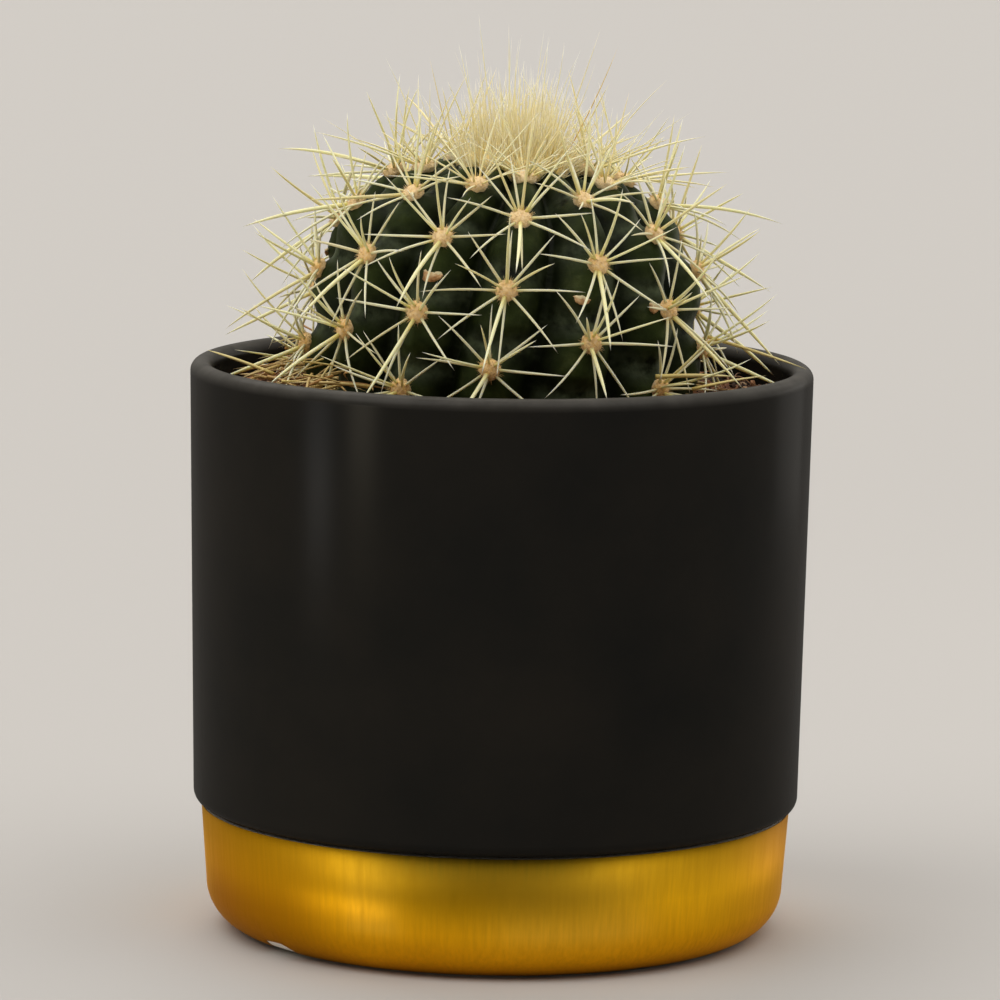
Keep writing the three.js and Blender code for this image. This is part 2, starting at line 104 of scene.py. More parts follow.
# Stem: the rule of the part's own barrel
BODY_RADIUS = 35
BODY_TOP = 37.7
BODY_BOTTOM = 25
SHOULDER_POWER = 3
BODY_CENTRE = (0.1, 0, 98.8)
LEAN_RIGHT = math.radians(3.2)
LEAN_FORWARD = math.radians(1.3)
RIBS = 13
RIB_TURN = 2 * math.pi / RIBS
FIRST_RIB_BEARING = math.radians(-90 + 2.2)
RIB_TWIST = math.radians(-0.23)
TWIST_FREE_ARC = 30
RIB_DRIFT = [math.radians(turn) for turn in
             (-0.5, -0.5, 0, 1.5, -1, 1, 2, 3, 6, 10, 3, 5, 2.5)]
GROOVE_DEPTH = 5.6
GROOVE_SHARPNESS = 1.6
NOTCH_DEPTH = 1.7
NOTCH_PLACE = 0.7
NOTCH_SHARPNESS = 2.2
FULL_DEPTH_ARC = 22
LAST_ARC = 84
LAST_SEEN_ARC = 66
STEM_COLUMNS_PER_RIB = 16
STEM_ROWS = 170
PROFILE_STEPS = 720
# Where the pale patch above each areole lies and how tall it is: partly a pale wax coat, partly a painted
# sheen
BLOOM_AND_SHEEN_PLACE = 0.72
BLOOM_AND_SHEEN_WIDTH = 0.17

# Areoles and spines: the part's own spiral and draws
AREOLE_SPACING = 13.6
SPIRAL_STEP = AREOLE_SPACING / RIBS
RIBS_PER_STEP = 5
FIRST_AREOLE_ARC = 1.2
CROWN_ARC = 10.5
AREOLE_RADIUS = 1.9
AREOLE_HEIGHT = 1.45
YOUNG_SWELLING = 0.6
RADIAL_SPINES = 8
RADIAL_START = 0.15
RADIAL_LENGTH = 12.8
RADIAL_LENGTH_SWING = 2.1
RADIAL_TILT = 76
YOUNG_RADIAL_RISE = 34
MAIN_LENGTH = 20.5
MAIN_TILT = 62
YOUNG_MAIN_RISE = 12
OLD_MAIN_RISE = 2
OLD_MAIN_ARC = 38
OLD_MAIN_SPAN = 15
MAIN_SWAY = -9
CENTRAL_ROUNDS = (120, 180, 240)
CENTRAL_LENGTH = 15.5
YOUNG_CENTRAL_GROWTH = 3.4
CENTRAL_TILT = 38
LENGTH_DRAW = 1.3
RADIAL_DRAW = 8
MAIN_DRAW = 18
CENTRAL_DRAW = 18
TILT_DRAW = 7
LEAN_STEP = 6
RADIAL_THICKNESS = 0.245
MAIN_THICKNESS = 0.36
YOUNG_THINNING = 0.35
ERECT_ARC = 30
SPINE_CLEARANCE = 0.5
SPINE_SEED = 5
ROOT_RING = 0.95
ROOT_HEIGHT = 0.2
LARGEST_TURN = 14
SPINE_SAG = 0.04
SEAT_GAP = 0.3
BOW_SEED = 77
CUSHION_SEED = 900
HAIR_SEED = 3000
HAIRS_PER_CUSHION = 120
HAIR_THICKNESS = 0.045
FELT_AGES_FROM = 8
FELT_AGES_OVER = 48

# Corky scars: rib, arc from the apex, half width and half height
SCARS = [(-0.96, 40.6, 1.8, 1.0), (0.87, 43.0, 1.6, 0.7), (1.86, 44.6, 1.7, 0.8), (5, 36.2, 1.9, 0.9),
         (-4, 42.3, 2.0, 0.8)]
SCAR_THICKNESS = 0.42

# Crown
WOOL_HEIGHT = 2.6
WOOL_EDGE = 0.5
WOOL_ARC = CROWN_ARC - 0.3
GOLDEN_ANGLE = math.pi * (3 - math.sqrt(5))
TUFT_SEED = 4001
# Each layer: spines, inner and outer seat, lean outwards, stray, shortest, longer, thickness
CROWN_LAYERS = {
    "core": (520, 0, 7.6, 0.20, 0.10, 6.0, 12.5, 0.105),
    "skirt": (260, 5.0, 10.6, 0.55, 0.24, 5.5, 10.0, 0.095),
    "down": (800, 6.4, 10.4, 1.7, 0.60, 2.2, 3.2, 0.080),
    "hairs": (30, 0, 7.0, 0.34, 0.14, 17.0, 8.0, 0.110),
}
# The longest hairs, each with its root, its tip and how aged it is
STRAY_HAIRS = [((-1.5, -2, 137), (-5.1, -3, 162.8), 0.1), ((0.5, 0, 138), (0.2, 0, 160.7), 0.2),
               ((8.5, -1, 137), (16.3, -2, 160.2), 0.3), ((9.5, -3, 136), (19.4, -6, 157.5), 1.0),
               ((-9, -2, 136), (-13.6, -4, 155.0), 0.6), ((-13, 1, 135), (-21.4, 2, 154.4), 0.2),
               ((15, -1, 135), (28.3, -2, 151.6), 0.3), ((18, 2, 134), (32.7, 3, 145.5), 0.1),
               ((-17, 2, 134), (-32.8, 4, 143.6), 0.2), ((4, 1, 137), (7.2, 2, 158.5), 0.0),
               ((-5, 1, 137), (-8.6, 3, 157.0), 0.0)]
STRAY_THICKNESS = 0.125
# Spines of the areoles nearest to the crown are golden and finer
YOUNG_ARC = 22
YOUNG_FINENESS = 0.78
# Fine extra spines of the young areoles: how far out they reach; how many, shortest, longer, thickness
YOUNG_EXTRA_ARC = 21
YOUNG_EXTRA = (9, 8, 9, 0.105)

# Waves that make surfaces uneven: the height, the scale and the seed of each
GOLD_EDGE_WAVES = [(0.35, 22, 71), (0.15, 5, 72)]
SOIL_WAVES = [(0.55, 16, 11), (0.3, 5, 12)]
SOIL_CRUMB_WAVES = [(0.35, 2.1, 13), (0.2, 1.1, 14)]
STEM_WAVES = [(0.16, 6, 31), (0.07, 2.3, 32)]
SCAR_WAVES = [(0.20, 0.8, 640), (0.10, 0.35, 660)]
CALLUS_WAVES = [(0.5, 0.5, 680)]
CUSHION_WAVES = [(0.07, 0.9, 950), (0.05, 0.4, 1950)]
WOOL_WAVES = [(0.35, 3.2, 51), (0.25, 1.4, 52)]

# Horn colours of the spines: root, shaft, tip and aged
HORNS = {
    "radial": ((0.66, 0.59, 0.22), (0.85, 0.81, 0.54), (0.85, 0.82, 0.63), (0.62, 0.53, 0.30)),
    "central": ((0.76, 0.66, 0.18), (0.92, 0.87, 0.50), (0.90, 0.86, 0.62), (0.72, 0.60, 0.30)),
    "young": ((0.96, 0.76, 0.30), (0.96, 0.87, 0.52), (0.95, 0.90, 0.70), (0.80, 0.62, 0.28)),
    "crown": ((0.99, 0.80, 0.34), (0.99, 0.90, 0.53), (0.98, 0.95, 0.76), (0.66, 0.44, 0.18)),
}

# Camera, from a fit of the pot's and the plant's outlines
CAMERA_PLACE = (0, -1090, 229)
CAMERA_PITCH = math.radians(7.97)
CAMERA_ROLL = math.radians(0.91)
CAMERA_LENS = 223.8
SENSOR_WIDTH = 36
VIEW_DEPTH = 100

# Stage: the room's light runs from its darkest to its brightest towards the bright side
FLOOR_SIZE = 60
BRIGHT_SIDE = (0.20, 0.98, 0)
ROOM_DARKEST = 0.04
ROOM_BRIGHTEST = 0.98
BRIGHT_FROM = 0.2
LOW_FAN = 60


def draws_from(seed):
    """A plain seeded draw, the same on every run and the same as the part's."""
    state = (seed * 7919 + 12345) % 2147483647

    def draw():
        nonlocal state
        state = state * 16807 % 2147483647
        return state / 2147483647

    for _ in range(4):
        draw()
    return draw


def spread(draw, half_range):
    return (draw() * 2 - 1) * half_range


def astray(draw, half_range):
    """A drawn step in all three directions."""
    return np.array([spread(draw, half_range) for _ in range(3)])


def reach_of(point):
    """How far a point lies from the upright axis."""
    return math.hypot(point[0], point[1])


def polar(reach, bearing):
    return np.array([reach * math.cos(bearing), reach * math.sin(bearing)])


def sideways(bearing):
    """The level direction across a bearing."""
    return np.array([-math.sin(bearing), math.cos(bearing), 0])


# Plant frame: the body's centre at the origin, its axis along +Z
PLANT = np.array(
    Matrix.Translation(BODY_CENTRE)
    @ Matrix.Rotation(LEAN_FORWARD, 4, "X")
    @ Matrix.Rotation(LEAN_RIGHT, 4, "Y")
)


def standing(points):
    """Points of the plant frame, set in the pot."""
    return np.asarray(points) @ PLANT[:3, :3].T + PLANT[:3, 3]


def barrel_profile():
    """The body's outline from the apex down to the root: radius, height and arc length."""
    tilt = np.pi * np.arange(PROFILE_STEPS + 1) / PROFILE_STEPS
    half_height = np.where(tilt < np.pi / 2, BODY_TOP, BODY_BOTTOM)
    reach = ((np.sin(tilt) / BODY_RADIUS) ** SHOULDER_POWER
             + (np.abs(np.cos(tilt)) / half_height) ** SHOULDER_POWER) ** (-1 / SHOULDER_POWER)
    radius = reach * np.sin(tilt)
    height = reach * np.cos(tilt)
    steps = np.hypot(np.diff(radius), np.diff(height))
    return radius, height, np.concatenate([[0], np.cumsum(steps)])


PROFILE_RADIUS, PROFILE_HEIGHT, PROFILE_ARC = barrel_profile()


def bearing_of(rib, arc):
    """The bearing of a rib, or of a place between two ribs, at an arc down from the apex."""
    rib = np.asarray(rib, float)
    below = np.floor(rib).astype(int)
    drift = np.array(RIB_DRIFT)
    turn = drift[below % RIBS] + (drift[(below + 1) % RIBS] - drift[below % RIBS]) * (rib - below)
    return FIRST_RIB_BEARING + rib * RIB_TURN + turn + RIB_TWIST * (arc - TWIST_FREE_ARC)


def on_barrel(arc, bearing):
    """Places on the smooth barrel that the areoles lie on, and their outward directions."""
    radius = np.interp(arc, PROFILE_ARC, PROFILE_RADIUS)
    height = np.interp(arc, PROFILE_ARC, PROFILE_HEIGHT)
    half_height = np.where(height > 0, BODY_TOP, BODY_BOTTOM)
    outward = (radius / BODY_RADIUS) ** (SHOULDER_POWER - 1) / BODY_RADIUS
    upward = np.sign(height) * (np.abs(height) / half_height) ** (SHOULDER_POWER - 1) / half_height
    out = np.stack([outward * np.cos(bearing), outward * np.sin(bearing), upward], -1)
    out /= np.linalg.norm(out, axis=-1, keepdims=True)
    place = np.stack([radius * np.cos(bearing), radius * np.sin(bearing), height], -1)
    return place, out


def skin_relief(rib, arc):
    """How far the skin lies below the barrel, and how high it stands in its own tubercle, 0 to 1."""
    nearest = np.round(rib)
    across = np.abs(rib - nearest) * 2
    groove = across ** GROOVE_SHARPNESS
    along_rib = (arc - FIRST_AREOLE_ARC) / AREOLE_SPACING + nearest * RIBS_PER_STEP / RIBS
    notch = (0.5 + 0.5 * np.cos(2 * np.pi * (along_rib - NOTCH_PLACE))) ** NOTCH_SHARPNESS
    size = np.minimum(1, arc / FULL_DEPTH_ARC)
    depth = size * (GROOVE_DEPTH * groove + NOTCH_DEPTH * notch * (1 - groove))
    crest = (1 - groove) * (1 - 0.75 * notch)
    return depth, crest, along_rib


def rolling(points, scale, seed):
    """Smooth uneven values near -1 to 1 over points, from seven crossed waves."""
    draw = draws_from(seed)
    total = np.zeros(len(points))
    for _ in range(7):
        wave = astray(draw, 1)
        wave *= (0.7 + draw()) / (np.linalg.norm(wave) * scale)
        total += np.sin(points @ wave * 2 * np.pi + draw() * 2 * np.pi)
    return total / 3.2


def uneven(points, value, waves, place=0):
    """A value made uneven over points by waves, with a pattern of its own for each place."""
    for height, scale, seed in waves:
        value = value + height * rolling(points, scale, seed + place)
    return value


# Modelling helpers

def start_fresh():
    """Nothing selected and no edit mode, before a new piece is begun."""
    active = bpy.context.view_layer.objects.active
    if active is not None and active.mode != "OBJECT":
        bpy.ops.object.mode_set(mode="OBJECT")
    bpy.ops.object.select_all(action="DESELECT")


def pick_all():
    bpy.ops.mesh.select_all(action="SELECT")


def pick(piece, test):
    """In edit mode, selects the vertices whose place in millimetres passes the test."""
    bpy.ops.mesh.select_mode(type="VERT")
    bpy.ops.mesh.select_all(action="DESELECT")
    mesh = bmesh.from_edit_mesh(piece.data)
    for vertex in mesh.verts:
        vertex.select = bool(test(vertex.co / MM))
    mesh.select_flush(True)
    bmesh.update_edit_mesh(piece.data)


def draw_in(millimetres):
    """Moves what is picked of a section towards the axis."""
    bpy.ops.transform.translate(value=(-millimetres * MM, 0, 0))


def section(name, inner, outer, low, high):
    """A flat rectangle beside the axis, the start of a turned piece, left in edit mode."""
    start_fresh()
    middle = ((inner + outer) / 2 * MM, 0, (low + high) / 2 * MM)
    bpy.ops.mesh.primitive_plane_add(size=1, rotation=(math.pi / 2, 0, 0), location=middle)
    piece = bpy.context.object
    piece.name = name
    piece.scale = ((outer - inner) * MM, (high - low) * MM, 1)
    bpy.ops.object.transform_apply(location=True, rotation=True, scale=True)
    bpy.ops.object.mode_set(mode="EDIT")
    return piece


def rounded(piece, test, radius, segments):
    pick(piece, test)
    bpy.ops.mesh.bevel(offset=radius * MM, offset_type="OFFSET", segments=segments, affect="VERTICES")


def leave_edit():
    """Turns every face outwards and goes back to object mode."""
    pick_all()
    bpy.ops.mesh.normals_make_consistent(inside=False)
    bpy.ops.object.mode_set(mode="OBJECT")


def spin_section():
    """Turns a section round the upright axis into a closed piece."""
    pick_all()
    bpy.ops.mesh.delete(type="ONLY_FACE")
    pick_all()
    bpy.ops.mesh.spin(steps=TURN_STEPS, angle=2 * math.pi, center=(0, 0, 0), axis=(0, 0, 1))
    pick_all()
    bpy.ops.mesh.remove_doubles(threshold=MERGE_DISTANCE * MM)
    leave_edit()
    bpy.ops.object.shade_smooth_by_angle(angle=SMOOTH_ANGLE)


def places_of(piece):
    """A piece's vertices in millimetres."""
    places = np.empty(len(piece.data.vertices) * 3)
    piece.data.vertices.foreach_get("co", places)
    return places.reshape(-1, 3) / MM


def put(piece, places):
    """Moves a piece's vertices to places in millimetres."""
    piece.data.vertices.foreach_set("co", (np.asarray(places) * MM).ravel())
    piece.data.update()


def marked(piece, name, values):
    """Keeps one value per vertex on the piece, for its material to read."""
    layer = piece.data.attributes.new(name, "FLOAT", "POINT")
    layer.data.foreach_set("value", np.asarray(values, np.float32))


def pattern_from(piece):
    """The bare shape of a small piece that is repeated: its vertices and its faces."""
    places = places_of(piece) * MM
    faces = [tuple(face.vertices) for face in piece.data.polygons]
    mesh = piece.data
    bpy.data.objects.remove(piece)
    bpy.data.meshes.remove(mesh)
    return places, faces


def lump_pattern(subdivisions):
    start_fresh()
    bpy.ops.mesh.primitive_ico_sphere_add(subdivisions=subdivisions, radius=1)
    return pattern_from(bpy.context.object)


def ball(name, segments, rings):
    """A ball to be drawn out over the barrel: the piece, its unit places and the rib at each of them."""
    start_fresh()
    bpy.ops.mesh.primitive_uv_sphere_add(segments=segments, ring_count=rings, radius=1)
    piece = bpy.context.object
    piece.name = name
    at = places_of(piece) * MM
    return piece, at, (np.arctan2(at[:, 1], at[:, 0]) % (2 * np.pi)) / RIB_TURN


def placed(name, data):
    """A new object in the scene."""
    new = bpy.data.objects.new(name, data)
    bpy.context.scene.collection.objects.link(new)
    return new


def joined(name, shapes, faces, smooth=True, **marks):
    """One piece from many copies of a pattern, given each copy's vertices in millimetres."""
    size = len(shapes[0])
    mesh = bpy.data.meshes.new(name)
    mesh.from_pydata(
        (np.asarray(shapes) * MM).reshape(-1, 3), [],
        [[corner + size * copy for corner in face] for copy in range(len(shapes)) for face in faces],
        shade_flat=not smooth)
    mesh.validate()
    piece = placed(name, mesh)
    for mark, values in marks.items():
        marked(piece, mark, np.asarray(values).ravel())
    return piece


def finished(piece, material):
    """Gives a piece its material and its place on the one body."""
    piece.data.materials.clear()
    piece.data.materials.append(material)
    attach(piece, "root")


# Materials

class Surface:
    """A material's node tree, with the few nodes that these finishes are made of."""

    def __init__(self, name):
        self.material = bpy.data.materials.new(name)
        self.material.use_nodes = True
        self.tree = self.material.node_tree
        self.place = self.node("TexCoord").outputs["Object"]

    def feed(self, socket, value):
        """Gives a socket another node's output, a plain value or a colour."""
        if isinstance(value, bpy.types.NodeSocket):
            self.tree.links.new(value, socket)
        else:
            socket.default_value = (*value, 1) if socket.type == "RGBA" else value

    def filled(self, node, sockets):
        for name, value in sockets.items():
            self.feed(node.inputs[name.replace("_", " ")], value)
        return node

    def node(self, kind, **sockets):
        return self.filled(self.tree.nodes.new("ShaderNode" + kind), sockets)

    def made(self, colour, roughness, **sockets):
        """The material, once its shader's sockets are filled."""
        sockets.update({"Base Color": colour, "Roughness": roughness})
        self.filled(self.tree.nodes["Principled BSDF"], sockets)
        return self.material

    def noise(self, scale, detail=3, roughness=0.55, place=None):
        place = self.place if place is None else place
        node = self.node("TexNoise", Vector=place, Scale=scale, Detail=detail, Roughness=roughness)
        return node.outputs["Fac"]

    def attribute(self, name):
        node = self.node("Attribute")
        node.attribute_name = name
        return node.outputs["Fac"]

    def ramp(self, value, *stops):
        node = self.node("ValToRGB", Fac=value)
        elements = node.color_ramp.elements
        while len(elements) < len(stops):
            elements.new(1.0)
        for element, (position, colour) in zip(elements, stops):
            element.position = position
            element.color = (*colour, 1)
        return node.outputs["Color"]

    def levels(self, value, low, high, to_low, to_high):
        """A value's range from low to high, drawn out from to_low to to_high."""
        node = self.node("MapRange", Value=value, From_Min=low, From_Max=high, To_Min=to_low, To_Max=to_high)
        return node.outputs["Result"]

    def mottle(self, scale, detail, to_low, to_high, low=0.3, high=0.7):
        return self.levels(self.noise(scale, detail), low, high, to_low, to_high)

    def mix(self, share, first, second):
        node = self.node("Mix")
        node.data_type = "RGBA"
        for socket, value in ((0, share), (6, first), (7, second)):
            self.feed(node.inputs[socket], value)
        return node.outputs[2]

    def math(self, way, first, second):
        node = self.node("Math")
        node.operation = way
        self.feed(node.inputs[0], first)
        self.feed(node.inputs[1], second)
        return node.outputs["Value"]

    def bump(self, height, strength, distance, over=None):
        node = self.node("Bump", Height=height, Strength=strength, Distance=distance)
        if over is not None:
            self.feed(node.inputs["Normal"], over)
        return node.outputs["Normal"]


def black_glaze():
    """Satin black glaze: slightly uneven, a little warmer in places, with a greyer lip that is partly wear
    and partly a painted highlight.
    """
    s = Surface("black_glaze")
    glaze = s.ramp(s.noise(34, 4), (0.3, (0.0098, 0.0096, 0.0084)), (0.72, (0.0160, 0.0140, 0.0112)))
    # The greyer lip is partly wear of the glaze at the rim and partly a painted highlight along it.
    lip = s.levels(s.node("SeparateXYZ", Vector=s.place).outputs["Z"], 0.0988, 0.1009, 0.0, 0.8)
    worn = s.math("MULTIPLY", lip, s.mottle(160, 4, 0.55, 1.0))
    waves = s.bump(s.noise(60, 2), 0.12, 0.0006)
    return s.made(
        s.mix(worn, glaze, (0.105, 0.098, 0.086)), s.mottle(110, 5, 0.40, 0.50),
        Normal=s.bump(s.noise(900, 2), 0.10, 0.0001, over=waves), Specular_IOR_Level=0.0,
        Coat_Weight=0.13, Coat_Roughness=0.21, Coat_IOR=1.38)


def gold_lacquer():
    """Brushed gold lacquer: fine upright strokes on a coat that is redder at its foot and darker near the
    seam, a painted shade under the wall's step, with soft patches of painted highlight and of painted shade."""
    s = Surface("gold_lacquer")
    upright = s.node("Mapping", Vector=s.place, Scale=(1300, 1300, 40)).outputs["Vector"]
    strokes = s.noise(1, 4, 0.65, upright)
    # Darker from 0.84 of the height up to the seam: painted shade under the wall's overhanging step.
    coat = s.ramp(s.attribute("rise"), (0.0, (0.85, 0.32, 0.004)), (0.35, (0.95, 0.44, 0.006)),
                  (0.60, (0.98, 0.50, 0.008)), (0.84, (0.50, 0.28, 0.010)), (1.0, (0.36, 0.22, 0.009)))
    worn = s.ramp(s.noise(30), (0.32, (0.58, 0.28, 0.004)), (0.70, (0.98, 0.51, 0.010)))
    tone = s.mix(0.42, coat, worn)
    # The painted highlight and the painted shade patches, mixed over the lacquer's tone.
    for name, (colour, _) in GOLD_PATCHES.items():
        tone = s.mix(s.attribute(name), tone, colour)
    ground = s.bump(s.noise(1100, 2), 0.12, 0.00008)
    return s.made(
        s.mix(s.levels(strokes, 0.34, 0.66, 0.0, 0.22), tone, (0.34, 0.17, 0.004)),
        s.levels(strokes, 0.3, 0.7, 0.36, 0.46), Normal=s.bump(strokes, 0.14, 0.0001, over=ground),
        Metallic=0.66, Specular_IOR_Level=0.06, Specular_Tint=(0.62, 0.40, 0.14))


def bare_clay():
    """Pale unglazed clay, fine and chalky."""
    s = Surface("bare_clay")
    chalk = s.ramp(s.noise(420, 4), (0.35, (0.84, 0.78, 0.70)), (0.7, (0.94, 0.90, 0.84)))
    return s.made(chalk, 0.85, Normal=s.bump(s.noise(1500), 0.3, 0.0001))


def potting_soil():
    """Dark crumbly soil with redder and paler specks."""
    s = Surface("potting_soil")
    crumbs = s.noise(520, 6, 0.7)
    specks = s.noise(1300)
    earth = s.ramp(crumbs, (0.3, (0.020, 0.010, 0.005)), (0.50, (0.16, 0.060, 0.020)),
                   (0.72, (0.36, 0.155, 0.052)))
    return s.made(
        s.mix(s.levels(specks, 0.62, 0.75, 0.0, 0.8), earth, (0.27, 0.17, 0.09)), 0.95,
        Normal=s.bump(crumbs, 0.9, 0.0012, over=s.bump(specks, 0.6, 0.0004)))


def soil_grit():
    """Crumbs of bark, coir and clay, each of its own brown."""
    s = Surface("soil_grit")
    browns = s.ramp(
        s.attribute("tint"), (0.0, (0.020, 0.012, 0.008)), (0.3, (0.085, 0.038, 0.017)),
        (0.6, (0.27, 0.11, 0.042)), (0.85, (0.42, 0.21, 0.09)), (1.0, (0.60, 0.45, 0.28)))
    colour = s.mix(s.mottle(900, 4, 0.0, 0.45), browns, (0.012, 0.008, 0.005))
    return s.made(colour, 0.9, Normal=s.bump(s.noise(1600), 0.6, 0.0003))


def dry_straw(name, root, tip, aged):
    """Dead fibres and fallen spines, each turning from a fresh tone to an aged one."""
    s = Surface(name)
    fresh = s.ramp(s.attribute("along"), (0.0, root), (1.0, tip))
    colour = s.mix(s.attribute("tint"), fresh, aged)
    return s.made(colour, 0.6, Normal=s.bump(s.noise(1200, 2), 0.3, 0.0001))


def cactus_skin():
    """Waxy dark green skin: painted shade darker in the grooves and painted light on the crests, with a pale
    patch on top of each tubercle that is partly a pale wax coat and partly a painted sheen.
    """
    s = Surface("cactus_skin")
    mottle = s.noise(210, 5, 0.62)
    deep = s.ramp(mottle, (0.3, (0.0016, 0.0029, 0.0004)), (0.7, (0.0056, 0.0085, 0.0014)))
    high = s.ramp(mottle, (0.3, (0.0120, 0.0195, 0.0040)), (0.58, (0.0350, 0.0490, 0.0120)),
                  (0.8, (0.088, 0.104, 0.034)))
    # Painted shade in the grooves and painted light on the crests of the tubercles.
    green = s.mix(s.levels(s.attribute("crest"), 0.25, 0.95, 0.0, 1.0), deep, high)
    # A pale patch above each areole: partly a pale wax coat, partly a painted sheen.
    bloom_and_sheen = s.math("MULTIPLY", s.attribute("bloom_and_sheen"), s.mottle(330, 4, 0.0, 0.75, 0.34, 0.66))
    dimples = s.bump(s.noise(330), 0.3, 0.0006)
    return s.made(
        s.mix(bloom_and_sheen, green, (0.105, 0.130, 0.070)), s.levels(mottle, 0.3, 0.7, 0.40, 0.56),
        Normal=s.bump(s.noise(1500), 0.25, 0.0002, over=dimples), Specular_IOR_Level=0.07)


def dry_scar():
    """Corky tan scars with a paler callus."""
    s = Surface("dry_scar")
    cork = s.ramp(s.noise(900, 4), (0.3, (0.30, 0.12, 0.035)), (0.5, (0.52, 0.27, 0.10)),
                  (0.75, (0.70, 0.47, 0.24)))
    colour = s.mix(s.attribute("callus"), cork, (0.74, 0.66, 0.40))
    return s.made(colour, 0.8, Normal=s.bump(s.noise(1400), 0.5, 0.0003))


def areole_felt():
    """Dense felt: cream when young, amber when old."""
    s = Surface("areole_felt")
    age = s.math("ADD", s.attribute("age"), s.mottle(700, 4, -0.2, 0.2))
    felt = s.ramp(age, (0.0, (0.94, 0.76, 0.43)), (0.45, (0.93, 0.65, 0.29)), (1.0, (0.96, 0.60, 0.19)))
    colour = s.mix(s.mottle(1700, 2, 0.0, 0.45, 0.35, 0.7), felt, (0.98, 0.78, 0.54))
    return s.made(colour, 0.95, Normal=s.bump(s.noise(2200), 0.8, 0.0004), Sheen_Weight=0.25)


def spine_horn(kind):
    """Horny spines: a deeper yellow root, a cream shaft and a paler tip; some are aged tan."""
    s = Surface(kind + "_spine")
    root, shaft, tip, aged = HORNS[kind]
    along = s.math("ADD", s.attribute("along"), s.mottle(420, 3, -0.05, 0.05))
    fresh = s.ramp(along, (0.0, root), (0.22, shaft), (0.75, shaft), (1.0, tip))
    return s.made(
        s.mix(s.attribute("tint"), fresh, aged), s.mottle(600, 2, 0.38, 0.52),
        Normal=s.bump(s.noise(1800, 2), 0.15, 0.0001), Specular_IOR_Level=0.35,
        Subsurface_Weight=0.45, Subsurface_Scale=0.001, Subsurface_Radius=(1.0, 0.85, 0.5))


def crown_wool_finish():
    """Creamy yellow wool over the growing point."""
    s = Surface("crown_wool")
    tufts = s.noise(900, 5, 0.7)
    wool = s.ramp(tufts, (0.3, (0.92, 0.67, 0.24)), (0.7, (0.99, 0.84, 0.42)))
    return s.made(wool, 0.95, Normal=s.bump(tufts, 0.9, 0.0006), Sheen_Weight=0.3)


# Pot

def glazed_wall():
    """The black wall: straight sides, a full round lip and a rounded foot over the step."""
    foot = SEAM_HEIGHT + SEAM_GAP
    wall = section("wall_glazed", POT_RADIUS - WALL, POT_RADIUS, foot, POT_HEIGHT)
    pick(wall, lambda at: at.z < foot + 1)
    draw_in(WALL_TAPER)
    rounded(wall, lambda at: at.z < foot + 1 and at.x > POT_RADIUS - WALL_TAPER - 1,
            WALL_FOOT_ROUNDING, WALL_FOOT_STEPS)
    rounded(wall, lambda at: at.z > POT_HEIGHT - 0.1, WALL / 2 * LIP_FULLNESS, LIP_STEPS)
    spin_section()
    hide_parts("pot_wall")
    finished(wall, black_glaze())


def base_section(name, inset):
    """Half the pot's base cut through its axis, with its broad rounded corner."""
    shoulder = POT_RADIUS - WALL_TAPER - BASE_STEP - inset
    corner = BASE_CORNER - inset
    base = section(name, 0, shoulder, inset, SEAM_HEIGHT)
    pick(base, lambda at: at.z < inset + 1 and at.x > shoulder - 1)
    draw_in(BASE_TAPER)
    rounded(base, lambda at: at.z < inset + 1 and at.x > shoulder - 3, corner, CORNER_STEPS)
    mesh = bmesh.from_edit_mesh(base.data)
    arc = [vertex for vertex in mesh.verts
           if vertex.co.x > 20 * MM and vertex.co.z < (SEAM_HEIGHT - 1) * MM]
    arc.sort(key=lambda vertex: vertex.co.z)
    for step, vertex in enumerate(arc):
        turned = math.pi / 2 * step / CORNER_STEPS
        vertex.co.x = (CORNER_CENTRE + corner * math.sin(turned)) * MM
        vertex.co.z = (BASE_CORNER - corner * math.cos(turned)) * MM
    bmesh.update_edit_mesh(base.data)
    return base


def clay_foot():
    """The pot's own clay under the gold, bare on the underside."""
    foot = base_section("clay_foot", GOLD_THICKNESS)
    spin_section()
    places = places_of(foot)
    places[:, 2] = np.where(places[:, 2] < GOLD_THICKNESS * 1.01, 0, places[:, 2])
    put(foot, places)
    finished(foot, bare_clay())


def soft_patch(at, bearing, height, half_width, half_height):
    """How much of a soft patch lies at each place, 0 to 1: even across its middle, fading at its sides."""
    aside = (np.arctan2(at[:, 1], at[:, 0]) - math.radians(bearing)) * POT_RADIUS / half_width
    return np.exp(-aside ** 4 - ((at[:, 2] - height) / half_height) ** 2)


